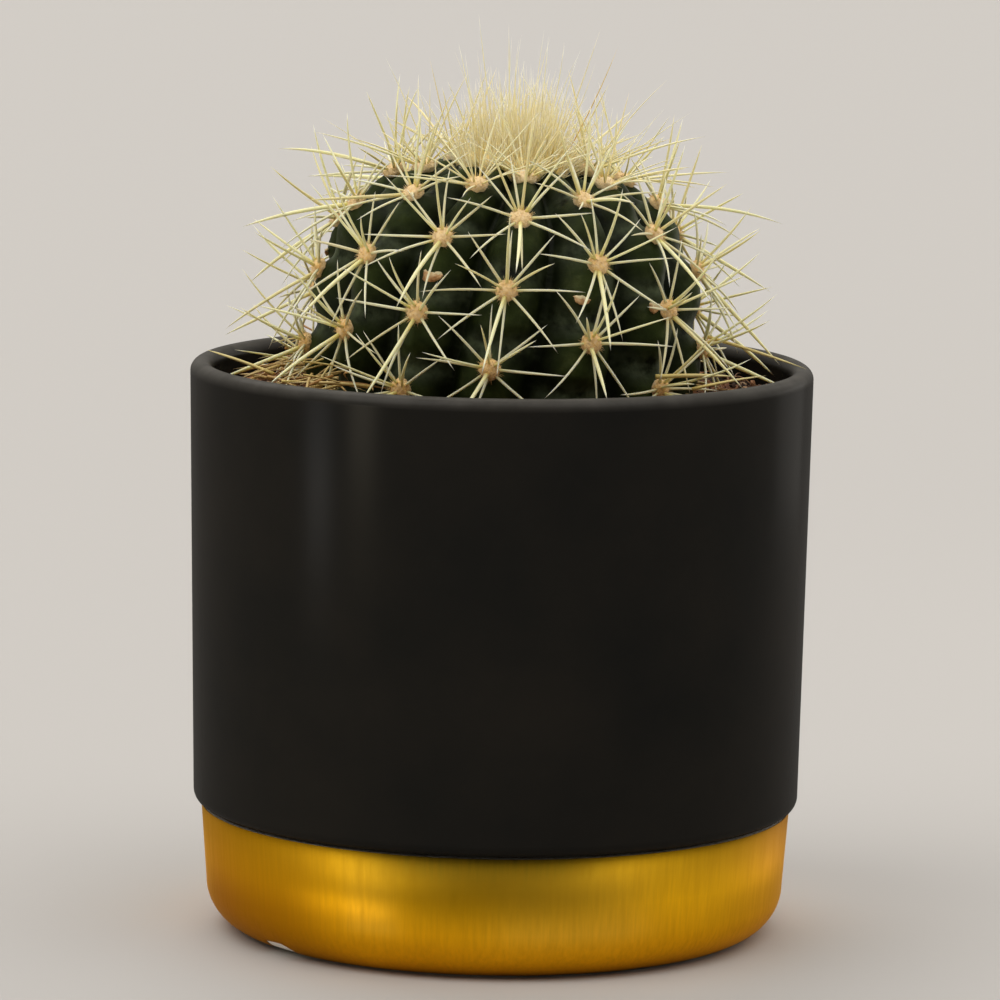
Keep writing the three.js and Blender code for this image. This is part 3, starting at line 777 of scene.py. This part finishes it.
def gold_coat():
    """The brushed gold coat over the base, its lower edge a little uneven and once bare to the clay."""
    coat = base_section("gold_coat", 0)
    pick(coat, lambda at: at.x < 1)
    bpy.ops.mesh.delete(type="VERT")
    spin_section()
    x, y, height = places_of(coat).T
    bearing = np.arctan2(y, x)
    radius = np.hypot(x, y)
    on_corner = (height < BASE_CORNER) & (radius > CORNER_CENTRE - 1)
    around = np.stack([np.cos(bearing), np.sin(bearing), bearing * 0], -1) * POT_RADIUS
    bare = np.clip(1 - np.abs(bearing - BARE_BEARING) / BARE_HALF_WIDTH, 0, 1)
    edge = uneven(around, GOLD_EDGE_ARC, GOLD_EDGE_WAVES) + BARE_ARC * np.minimum(1, bare * BARE_STEEPNESS)
    arc = np.arctan2(radius - CORNER_CENTRE, BASE_CORNER - height) * BASE_CORNER
    quarter = BASE_CORNER * math.pi / 2
    turned = (edge + arc * (quarter - edge) / quarter) / BASE_CORNER
    radius = np.where(on_corner, CORNER_CENTRE + BASE_CORNER * np.sin(turned), radius)
    height = np.where(on_corner, BASE_CORNER - BASE_CORNER * np.cos(turned), height)
    put(coat, np.stack([radius * np.cos(bearing), radius * np.sin(bearing), height], -1))
    start_fresh()
    bpy.context.view_layer.objects.active = coat
    coat.select_set(True)
    thick = coat.modifiers.new("thickness", "SOLIDIFY")
    thick.thickness = GOLD_THICKNESS * MM
    thick.offset = -1
    bpy.ops.object.modifier_apply(modifier="thickness")
    at = places_of(coat)
    marked(coat, "rise", np.clip(at[:, 2] / SEAM_HEIGHT, 0, 1))
    # Marks the painted highlight and the painted shade patches for the lacquer to read.
    for name, (_, patches) in GOLD_PATCHES.items():
        marked(coat, name, sum(strength * soft_patch(at, *patch) for strength, *patch in patches))
    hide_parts("pot_base")
    finished(coat, gold_lacquer())


# Soil

def soil_surface_height(x, y):
    """The soil's height at places: low mounds that sink a little against the wall."""
    points = np.stack([x, y, x * 0], -1)
    sunk = SINK_DEPTH * np.clip((np.hypot(x, y) - SINK_START) / SINK_WIDTH, 0, 1) ** 2
    return uneven(points, SOIL_HEIGHT, SOIL_WAVES) - sunk


def soil_at(x, y):
    return float(soil_surface_height(np.array([x]), np.array([y]))[0])


def soil_bed():
    """The soil as a disc that fills the pot, its surface in crumbs."""
    start_fresh()
    middle = (0, 0, SOIL_HEIGHT * MM)
    bpy.ops.mesh.primitive_circle_add(vertices=TURN_STEPS, radius=BED_START * MM, fill_type="NGON",
                                      location=middle)
    bed = bpy.context.object
    bed.name = "soil_bed"
    bpy.ops.object.transform_apply(location=True, rotation=True, scale=True)
    bpy.ops.object.mode_set(mode="EDIT")
    bpy.ops.mesh.select_mode(type="EDGE")
    pick_all()
    bpy.ops.mesh.region_to_loop()
    radius = BED_START
    while radius < SOIL_RADIUS - 0.01:
        wider = min(radius + BED_RING, SOIL_RADIUS)
        bpy.ops.mesh.extrude_edges_move()
        bpy.ops.transform.resize(value=(wider / radius, wider / radius, 1), center_override=middle)
        radius = wider
    bpy.ops.mesh.extrude_edges_move(TRANSFORM_OT_translate={"value": (0, 0, -BED_DEPTH * MM)})
    bpy.ops.mesh.edge_face_add()
    leave_edit()
    places = places_of(bed)
    top = places[:, 2] > SOIL_HEIGHT - 1
    height = soil_surface_height(places[:, 0], places[:, 1]) + uneven(places, 0, SOIL_CRUMB_WAVES)
    places[:, 2] = np.where(top, height, places[:, 2])
    put(bed, places)
    bpy.ops.object.shade_smooth()
    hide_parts("soil")
    finished(bed, potting_soil())


def free_soil_place(draw, near_wall):
    """A place on the soil between the stem and the wall."""
    inner, outer = FREE_SOIL_START, SOIL_RADIUS - near_wall
    reach = math.sqrt(inner ** 2 + draw() * (outer ** 2 - inner ** 2))
    return polar(reach, draw() * 2 * math.pi)


def soil_grains():
    """Loose crumbs over the soil, from dust to about 2 mm."""
    pattern, faces = lump_pattern(1)
    draw = draws_from(GRAIN_SEED)
    shapes, tints = [], []
    for _ in range(GRAINS):
        x, y = free_soil_place(draw, 1.0)
        size = 0.25 + 0.85 * draw() ** 3
        turn = Euler((draw() * 6.3, draw() * 6.3, draw() * 6.3)).to_matrix()
        bumps = np.array([1 + spread(draw, 0.28) for _ in pattern])[:, None]
        shape = (pattern * bumps * (size * (0.7 + 0.6 * draw()), size, size * 0.75)) @ np.array(turn).T
        shapes.append(shape + (x, y, soil_at(x, y) + size * 0.35))
        tints.append(np.full(len(pattern), draw() ** 1.6))
    grains = joined("soil_grains", shapes, faces, smooth=False, tint=tints)
    finished(grains, soil_grit())


# Needles

def needle_pattern(sides, rings):
    """A straight tapered needle one unit long and one unit thick: its vertices and its faces."""
    start_fresh()
    bpy.ops.mesh.primitive_circle_add(vertices=sides, radius=1, fill_type="NGON")
    needle = bpy.context.object
    bpy.ops.object.mode_set(mode="EDIT")
    pick_all()
    bpy.ops.mesh.flip_normals()
    for _ in range(rings):
        bpy.ops.mesh.extrude_region_move(TRANSFORM_OT_translate={"value": (0, 0, 1 / rings)})
    bpy.ops.mesh.merge(type="CENTER")
    leave_edit()
    return pattern_from(needle)


def needle_shape(pattern, root, tip, thickness, bow, swell=0.2, blunt=3.4):
    """A needle's vertices from its root to its tip, bowed to one side, a little swollen at its root and
    thinned to a point."""
    root, tip, bow = np.asarray(root, float), np.asarray(tip, float), np.asarray(bow, float)
    along = pattern[:, 2]
    line = tip - root
    heading = line / np.linalg.norm(line)
    aside = np.cross(heading, (0.31, 0.17, 0.93) if abs(heading[2]) < 0.9 else (1.0, 0.1, 0.2))
    aside /= np.linalg.norm(aside)
    third = np.cross(heading, aside)
    width = thickness * (1 - along ** blunt) ** 0.85 * (1 + swell * np.exp(-along * 14))
    centre = root + along[:, None] * line + (4 * along * (1 - along))[:, None] * bow
    return centre + width[:, None] * (pattern[:, :1] * aside + pattern[:, 1:2] * third)


class Bundle:
    """Copies of one needle that become one piece, each with a value for its material to read."""

    def __init__(self, needle):
        self.pattern, self.faces = needle
        self.shapes, self.values = [], []

    def add(self, root, tip, thickness, bow, value, **form):
        self.shapes.append(needle_shape(self.pattern, root, tip, thickness, bow, **form))
        self.values.append(np.full(len(self.pattern), value))

    def tinted(self, name):
        alongs = [self.pattern[:, 2]] * len(self.shapes)
        return joined(name, self.shapes, self.faces, along=alongs, tint=self.values)


# Litter on the soil

def litter(needle):
    """Old straw-yellow spines that lie across one another on the soil, most of them at the left."""
    draw = draws_from(LITTER_SEED)
    straws = Bundle(needle)
    for place in range(LITTER_SPINES):
        crowded = place < LITTER_SPINES * CROWDED_SHARE
        bearing = LITTER_BEARING + spread(draw, 0.75) if crowded else draw() * 2 * math.pi
        reach = LITTER_START + LITTER_WIDTH * draw()
        length = 7 + 9 * draw()
        turned = bearing + (spread(draw, 0.9) if draw() < 0.7 else spread(draw, math.pi))
        heaped = 1 - abs(reach - PILE_PLACE) / PILE_HALF_WIDTH
        pile = (1.0 + PILE_HEIGHT * draw() * heaped) if crowded else 0.9
        ends = []
        for side, rise in ((-1, 0.4 * length * draw()), (1, spread(draw, 0.12) * length)):
            x, y = polar(reach, bearing) + polar(length / 2, turned) * side
            ends.append(np.array([x, y, SOIL_HEIGHT + pile + (rise if crowded else 0)]))
        reaches = [reach_of(end) for end in ends]
        if max(reaches) > SOIL_RADIUS - 1.2 or min(reaches) < LITTER_STEM_ROOM:
            continue
        bow = np.array([spread(draw, 0.05), spread(draw, 0.05), 0.03]) * length
        straws.add(*ends, 0.16 + 0.16 * draw() ** 2, bow, draw() ** 0.9)
    for root, tip, thickness in RIM_SPINES:
        straws.add(root, tip, thickness, (0, 0, 0.2), 0)
    straw = dry_straw("fallen_spine", (0.76, 0.58, 0.17), (0.86, 0.74, 0.36), (0.36, 0.17, 0.04))
    finished(straws.tinted("fallen_spines"), straw)


def fibres(needle):
    """Short curled coir fibres on the soil."""
    draw = draws_from(FIBRE_SEED)
    coirs = Bundle(needle)
    for _ in range(FIBRES):
        middle = free_soil_place(draw, 3.0)
        if draw() < 0.4:
            middle = polar(reach_of(middle), LITTER_BEARING + spread(draw, 0.6))
        length = 3 + 7 * draw()
        half = polar(length / 2, draw() * 2 * math.pi)
        height = soil_at(*middle) + 0.35
        root = np.array([*(middle - half), height])
        tip = np.array([*(middle + half), height + 1.2 * draw()])
        if max(reach_of(root), reach_of(tip)) > SOIL_RADIUS - 0.8:
            continue
        bow = np.array([spread(draw, 0.25), spread(draw, 0.25), 0.12]) * length
        coirs.add(root, tip, 0.07 + 0.07 * draw(), bow, draw(), swell=0)
    coir = dry_straw("coir", (0.42, 0.16, 0.035), (0.54, 0.25, 0.07), (0.12, 0.045, 0.012))
    finished(coirs.tinted("coir_fibres"), coir)


# Plant

def areoles():
    """Every areole of the spiral, with its own axes: out of the skin, down the rib and across it."""
    found = []
    step = 0
    while FIRST_AREOLE_ARC + step * SPIRAL_STEP < LAST_SEEN_ARC:
        arc = FIRST_AREOLE_ARC + step * SPIRAL_STEP
        rib = step * RIBS_PER_STEP % RIBS
        bearing = float(bearing_of(rib, arc))
        place, out = on_barrel(arc, bearing)
        across = sideways(bearing)
        down = np.cross(across, out)
        down /= np.linalg.norm(down)
        draw = draws_from(SPINE_SEED + step)
        turn = spread(draw, LARGEST_TURN)
        found.append({
            "step": step, "arc": arc, "youth": max(0.0, 1 - arc / ERECT_ARC), "draw": draw, "turn": turn,
            "place": place, "out": out, "across": across, "down": down, "height": standing(place)[2]})
        step += 1
    return found


def leant(areole, tilt, round_):
    """A direction tilted away from the outward axis, round to a side of the areole, in degrees."""
    tilt, round_ = math.radians(tilt), math.radians(round_)
    side = areole["down"] * math.cos(round_) + areole["across"] * math.sin(round_)
    return areole["out"] * math.cos(tilt) + side * math.sin(tilt)


def touches_wool(root, tip):
    """Whether a spine runs through the space of the crown's wool."""
    share = 0.0
    while share <= 1:
        point = root + (tip - root) * share
        under = point[2] < BODY_TOP + WOOL_HEIGHT + WOOL_EDGE + SEAT_GAP + SPINE_CLEARANCE
        if reach_of(point) < CROWN_ARC + SPINE_CLEARANCE and under:
            return True
        share += 0.05
    return False


def spines_of(areole):
    """The spines of one areole: eight radials, a main central that points down, and three that point up."""
    youth, draw = areole["youth"], areole["draw"]
    spines = []

    def add(tilt, round_, length, kind):
        inset = ROOT_RING * math.sin(math.radians(tilt))
        root = areole["place"] + areole["out"] * ROOT_HEIGHT + leant(areole, 90, round_) * inset
        leaning = tilt
        while leaning > 0:
            tip = root + leant(areole, leaning, round_) * length
            if not touches_wool(root, tip):
                spines.append({"root": root, "tip": tip, "kind": kind, "areole": areole})
                break
            leaning -= LEAN_STEP

    for spine in range(RADIAL_SPINES):
        round_ = (spine + RADIAL_START) * 360 / RADIAL_SPINES + areole["turn"] + spread(draw, RADIAL_DRAW)
        lower = math.cos(math.radians(round_))
        length = RADIAL_LENGTH + RADIAL_LENGTH_SWING * lower + spread(draw, LENGTH_DRAW)
        add(RADIAL_TILT - YOUNG_RADIAL_RISE * youth + spread(draw, TILT_DRAW), round_, length, "radial")
    age = min(max(areole["arc"] - OLD_MAIN_ARC, 0), OLD_MAIN_SPAN)
    main_tilt = MAIN_TILT - YOUNG_MAIN_RISE * youth - OLD_MAIN_RISE * age + spread(draw, TILT_DRAW)
    main_round = MAIN_SWAY + spread(draw, MAIN_DRAW)
    add(main_tilt, main_round, MAIN_LENGTH + spread(draw, LENGTH_DRAW), "main")
    for round_ in CENTRAL_ROUNDS:
        length = CENTRAL_LENGTH + YOUNG_CENTRAL_GROWTH * youth + spread(draw, LENGTH_DRAW)
        tilt = CENTRAL_TILT + spread(draw, TILT_DRAW)
        add(tilt, round_ + spread(draw, CENTRAL_DRAW), length, "central")
    return spines


def kept_clear(spine):
    """A spine in the pot's frame, kept above the soil and inside or over the pot's wall."""
    root, tip = standing(spine["root"]), standing(spine["tip"])
    floor = SOIL_HEIGHT + 0.6 + SPINE_CLEARANCE
    tip[2] = max(tip[2], floor)
    limit = POT_RADIUS - WALL - SPINE_CLEARANCE if tip[2] < POT_HEIGHT + SPINE_CLEARANCE else POT_RADIUS - 1
    if reach_of(tip) > limit:
        low, high = 0.0, 1.0
        for _ in range(20):
            middle = (low + high) / 2
            point = root + (tip - root) * middle
            if reach_of(point) > limit:
                high = middle
            else:
                low = middle
        tip = root + (tip - root) * low
    return {**spine, "root": root, "tip": tip, "out": PLANT[:3, :3] @ spine["areole"]["out"]}


def ribbed_stem():
    """The barrel: a sphere drawn out along its ribs, grooves and tubercles."""
    stem, at, rib = ball("ribbed_stem", RIBS * STEM_COLUMNS_PER_RIB, STEM_ROWS)
    arc = np.arccos(np.clip(at[:, 2], -1, 1)) / np.pi * LAST_ARC
    depth, crest, along_rib = skin_relief(rib, arc)
    place, out = on_barrel(arc, bearing_of(rib, arc))
    skin = place - out * depth[:, None]
    size = np.minimum(1, arc / FULL_DEPTH_ARC)
    skin += out * uneven(skin, 0, STEM_WAVES)[:, None] * size[:, None]
    bottom = arc > LAST_ARC - 1e-6
    skin[bottom] = (0, 0, np.interp(LAST_ARC, PROFILE_ARC, PROFILE_HEIGHT) - 3)
    put(stem, standing(skin))
    # A pale patch just above each areole, partly a pale wax coat and partly a painted sheen.
    above_areole = np.exp(-(((along_rib % 1) - BLOOM_AND_SHEEN_PLACE) / BLOOM_AND_SHEEN_WIDTH) ** 2)
    # The crest mark carries painted shade into the grooves and painted light onto the crests.
    marked(stem, "crest", np.clip(crest, 0, 1))
    marked(stem, "bloom_and_sheen", np.clip(above_areole * (1 - np.abs(rib - np.round(rib)) * 1.5), 0, 1))
    bpy.ops.object.shade_smooth()
    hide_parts("cactus")
    finished(stem, cactus_skin())


def corky_scars():
    """Small corky scars across the ribs, just above an areole."""
    pattern, faces = lump_pattern(3)
    shapes, calluses = [], []
    for place, (rib, arc, half_width, half_height) in enumerate(SCARS):
        depth = skin_relief(np.array([float(rib)]), np.array([arc]))[0][0]
        bearing = float(bearing_of(rib, arc))
        seat, out = on_barrel(arc, bearing)
        across = sideways(bearing)
        axes = np.stack([across, np.cross(across, out), out])
        lumps = uneven(pattern, 1, SCAR_WAVES, place)
        local = pattern * lumps[:, None] * (half_width, half_height, SCAR_THICKNESS)
        local[:, 1] *= 1 - 0.45 * pattern[:, 0]
        local[:, 1] -= 0.35 * pattern[:, 0] ** 2
        callus = uneven(pattern, 0.1 - 1.3 * pattern[:, 1], CALLUS_WAVES, place)
        calluses.append(np.clip(callus, 0, 0.85))
        shapes.append(standing(local @ axes + seat - out * (depth - 0.1)))
    finished(joined("corky_scars", shapes, faces, callus=calluses), dry_scar())


def felt_radius(areole):
    return AREOLE_RADIUS + YOUNG_SWELLING * areole["youth"]


def felt_age(areole):
    return (areole["arc"] - FELT_AGES_FROM) / FELT_AGES_OVER


def felt_cushions(found):
    """The felt cushion of every areole, domed and lumpy."""
    pattern, faces = lump_pattern(3)
    shapes, ages = [], []
    for areole in found:
        draw = draws_from(CUSHION_SEED + areole["step"])
        radius = felt_radius(areole)
        lumps = uneven(pattern, 1, CUSHION_WAVES, areole["step"])
        local = pattern * lumps[:, None] * (radius * (0.92 + 0.1 * draw()), radius, AREOLE_HEIGHT * 0.9)
        axes = np.stack([areole["across"], areole["down"], areole["out"]])
        shapes.append(standing(local @ axes + areole["place"]))
        ages.append(np.full(len(pattern), np.clip(felt_age(areole) + spread(draw, 0.12), 0, 1)))
    finished(joined("areole_felt", shapes, faces, age=ages), areole_felt())


def felt_hairs(found, needle):
    """Short hairs that stand out of the felt."""
    hairs = Bundle(needle)
    for areole in found:
        draw = draws_from(HAIR_SEED + areole["step"])
        age = float(np.clip(felt_age(areole), 0, 1))
        for _ in range(HAIRS_PER_CUSHION):
            tilt = math.degrees(math.acos(1 - draw() * 0.95))
            heading = leant(areole, tilt, draw() * 360)
            lifted = areole["out"] * (heading @ areole["out"])
            flat = heading - lifted
            root = areole["place"] + flat * felt_radius(areole) * 0.82 + lifted * AREOLE_HEIGHT * 0.7
            tip = root + (heading + flat * 0.3) * (0.45 + 0.65 * draw())
            hairs.add(standing(root), standing(tip), HAIR_THICKNESS, astray(draw, 0.12),
                      np.clip(age + spread(draw, 0.2), 0, 1), swell=0)
    piece = joined("areole_hairs", hairs.shapes, hairs.faces, age=hairs.values)
    finished(piece, areole_felt())


def body_spines(spines, needle):
    """The spines of the body, each slightly bowed: radials, centrals and young ones as three pieces."""
    draw = draws_from(BOW_SEED)
    bundles = {kind: Bundle(needle) for kind in ("radial", "central", "young")}
    for spine in spines:
        length = np.linalg.norm(spine["tip"] - spine["root"])
        thickness = MAIN_THICKNESS if spine["kind"] == "main" else RADIAL_THICKNESS
        thickness *= (0.88 + 0.24 * draw()) * (1 - YOUNG_THINNING * spine["areole"]["youth"])
        bow = spine["out"] * length * (SPINE_SAG * (0.3 + draw()))
        bow = bow + astray(draw, 0.02) * length
        kind = "young" if spine["areole"]["arc"] < YOUNG_ARC else spine["kind"].replace("main", "central")
        thickness *= YOUNG_FINENESS if kind == "young" else 1
        bundles[kind].add(spine["root"], spine["tip"], thickness, bow, 0.75 * draw() ** 2.5)
    for kind, bundle in bundles.items():
        finished(bundle.tinted(kind + "_spines"), spine_horn(kind))


def draped(share):
    """How closely the wool follows the skin, 0 at its middle to 1 at its edge."""
    return np.clip((share - 0.45) / 0.55, 0, 1)


def wool_cushion():
    """The low cushion of wool over the growing point."""
    wool, at, rib = ball("crown_wool", 96, 48)
    share = np.arccos(np.clip(np.abs(at[:, 2]), 0, 1)) / (np.pi / 2)
    arc = share * WOOL_ARC
    upper = at[:, 2] > -1e-6
    lumps = uneven(at * 10, 0, WOOL_WAVES)
    dome = WOOL_EDGE * 0.3 + WOOL_HEIGHT * np.clip(1 - share ** 1.7, 0, 1) ** 0.8
    depth = skin_relief(rib, arc)[0]
    top = SEAT_GAP + dome + lumps * np.clip(1.6 - 1.6 * share, 0, 1) - depth * draped(share)
    place, out = on_barrel(arc, bearing_of(rib, arc))
    put(wool, standing(place + out * np.where(upper, top, 0.05 - depth)[:, None]))
    bpy.ops.object.shade_smooth()
    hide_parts("crown")
    finished(wool, crown_wool_finish())


def layer_spines(tuft, draw, layer):
    """One layer of the tuft, its seats in a spiral from the middle outwards."""
    spines, inner, outer, lean, stray, shortest, longer, thick = layer
    for place in range(spines):
        share = math.sqrt((place + 0.5) / spines)
        arc = inner + (outer - inner) * share
        rib = (place * GOLDEN_ANGLE + spread(draw, 0.2) + 2 * math.pi) / RIB_TURN
        bearing = float(bearing_of(rib, arc))
        seat, out = on_barrel(arc, bearing)
        seat = seat - out * skin_relief(rib, arc)[0] * draped(arc / CROWN_ARC)
        leaning = lean * arc / outer
        heading = np.array([math.cos(bearing) * leaning + spread(draw, stray),
                            math.sin(bearing) * leaning + spread(draw, stray), 1.0])
        heading /= np.linalg.norm(heading)
        length = (shortest + longer * draw() ** 1.6) * (1 - 0.22 * share)
        bow = np.array([spread(draw, 0.05), spread(draw, 0.05), 0]) * length
        root = seat + out * (SEAT_GAP + (0.1 if outer > 10 else 0.5))
        tuft.add(standing(root), standing(root + heading * length), thick * (0.8 + 0.5 * draw()), bow,
                 0.45 * draw() ** 2, swell=0.5, blunt=1.8)


def extra_young_spines(tuft, draw, areole):
    """The fine extra spines of one young areole."""
    spines, shortest, longer, thick = YOUNG_EXTRA
    for _ in range(spines):
        tilt, round_ = 8 + 52 * draw(), 360 * draw()
        heading = leant(areole, tilt, round_)
        length = shortest + longer * draw()
        root = areole["place"] + areole["out"] * 0.4 + leant(areole, 90, round_) * 0.9
        thickness = thick * (0.8 + 0.5 * draw())
        tuft.add(standing(root), standing(root + heading * length), thickness, astray(draw, 0.05) * length,
                 0.4 * draw() ** 2, swell=0.3, blunt=2.2)


def crown_tuft(found, needle):
    """The tuft at the apex: its layers, the longest hairs and the young areoles' extra spines."""
    draw = draws_from(TUFT_SEED)
    tuft = Bundle(needle)
    for layer in CROWN_LAYERS.values():
        layer_spines(tuft, draw, layer)
    for root, tip, aged in STRAY_HAIRS:
        bow = (spread(draw, 0.8), 0, spread(draw, 0.4))
        tuft.add(root, tip, STRAY_THICKNESS, bow, aged, swell=0.3, blunt=2.6)
    for areole in found:
        if areole["arc"] <= YOUNG_EXTRA_ARC:
            extra_young_spines(tuft, draw, areole)
    finished(tuft.tinted("crown_spines"), spine_horn("crown"))


# Stage

def studio_floor():
    """A plain pale floor, wide enough for its far edge to be hard to see."""
    start_fresh()
    bpy.ops.mesh.primitive_plane_add(size=FLOOR_SIZE, location=(0, 0, 0))
    floor = bpy.context.object
    floor.name = "studio_floor"
    floor.data.materials.append(Surface("floor_paint").made((0.446, 0.426, 0.403), 0.8))


def lamp(name, kind, power, colour):
    light = bpy.data.lights.new(name, kind)
    light.energy = power
    light.color = colour
    return placed(name, light), light


def softbox(name, place, aim, size, power, colour, fan=180):
    """A soft rectangular light in millimetres and watts, its fan in degrees."""
    stand, light = lamp(name, "AREA", power, colour)
    light.shape = "RECTANGLE"
    light.size, light.size_y = size[0] * MM, size[1] * MM
    light.spread = math.radians(fan)
    stand.location = Vector(place) * MM
    stand.rotation_euler = (Vector(aim) - Vector(place)).to_track_quat("-Z", "Y").to_euler()
    stand.visible_camera = False


def sunlight(name, towards, width, strength, colour):
    """A very soft, even light from a far direction, its width in degrees."""
    stand, light = lamp(name, "SUN", strength, colour)
    light.angle = math.radians(width)
    stand.rotation_euler = Vector(towards).to_track_quat("Z", "Y").to_euler()


def lights():
    """A pale room, brighter behind at the right, and soft skylight from above."""
    world = bpy.data.worlds.new("room")
    bpy.context.scene.world = world
    world.use_nodes = True
    tree = world.node_tree
    background = tree.nodes["Background"]
    background.inputs["Color"].default_value = (0.630, 0.612, 0.590, 1)
    direction = tree.nodes.new("ShaderNodeTexCoord").outputs["Generated"]
    towards = tree.nodes.new("ShaderNodeVectorMath")
    towards.operation = "DOT_PRODUCT"
    towards.inputs[1].default_value = BRIGHT_SIDE
    tree.links.new(direction, towards.inputs[0])
    strength = tree.nodes.new("ShaderNodeMapRange")
    strength.interpolation_type = "SMOOTHSTEP"
    for name, value in (("From Min", -1), ("From Max", BRIGHT_FROM), ("To Min", ROOM_DARKEST),
                        ("To Max", ROOM_BRIGHTEST)):
        strength.inputs[name].default_value = value
    tree.links.new(towards.outputs["Value"], strength.inputs["Value"])
    tree.links.new(strength.outputs["Result"], background.inputs["Strength"])
    sunlight("back_skylight", (-0.25, 0.55, 0.8), 45, 0.95, (1.0, 0.985, 0.96))
    sunlight("left_skylight", (-0.50, -0.36, 0.78), 46, 1.25, (1.0, 0.985, 0.96))
    sunlight("front_skylight", (0.32, -0.34, 0.89), 50, 1.00, (1.0, 0.985, 0.96))
    sunlight("right_skylight", (0.75, 0.60, 0.26), 52, 0.62, (1.0, 0.96, 0.90))
    softbox("left_softbox", (-426, -188, 36), (-32, -45, 80), (78, 60), 0.0096, (1.0, 0.98, 0.95), LOW_FAN)
    softbox("right_softbox", (400, 330, 95), (50, -24, 60), (220, 180), 0.15, (1.0, 0.95, 0.88))
    softbox("low_softbox", (-560, -470, 45), (0, 0, 10), (120, 60), 0.0360, (1.0, 0.88, 0.66), LOW_FAN)


def camera():
    """The photograph's viewpoint: a long lens, 8 degrees down, rolled by just under a degree."""
    data = bpy.data.cameras.new("viewpoint")
    data.lens = CAMERA_LENS
    data.sensor_width = SENSOR_WIDTH
    data.clip_end = VIEW_DEPTH
    view = placed("viewpoint", data)
    tipped = Matrix.Rotation(math.pi / 2 - CAMERA_PITCH, 4, "X") @ Matrix.Rotation(CAMERA_ROLL, 4, "Z")
    view.matrix_world = Matrix.Translation(Vector(CAMERA_PLACE) * MM) @ tipped
    bpy.context.scene.camera = view


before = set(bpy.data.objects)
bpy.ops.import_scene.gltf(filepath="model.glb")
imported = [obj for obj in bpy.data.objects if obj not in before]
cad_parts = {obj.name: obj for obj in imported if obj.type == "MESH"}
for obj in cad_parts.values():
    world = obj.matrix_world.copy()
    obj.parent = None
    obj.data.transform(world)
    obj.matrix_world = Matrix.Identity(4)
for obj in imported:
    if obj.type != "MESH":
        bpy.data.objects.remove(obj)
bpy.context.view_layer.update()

camera()
lights()
studio_floor()
bpy.context.scene.view_settings.view_transform = "Standard"

glazed_wall()
clay_foot()
gold_coat()
soil_bed()
soil_grains()
ribbed_stem()

every_areole = areoles()
seen_areoles = [areole for areole in every_areole
                if areole["arc"] > CROWN_ARC + AREOLE_RADIUS and areole["height"] > SOIL_HEIGHT + 3]
felt_cushions(seen_areoles)
felt_hairs(seen_areoles, needle_pattern(3, 2))
seen_spines = [kept_clear(spine) for areole in seen_areoles for spine in spines_of(areole)]
body_spines(seen_spines, needle_pattern(7, 8))
wool_cushion()
fine_needle = needle_pattern(5, 6)
crown_tuft(seen_areoles, fine_needle)
corky_scars()
litter(fine_needle)
fibres(fine_needle)
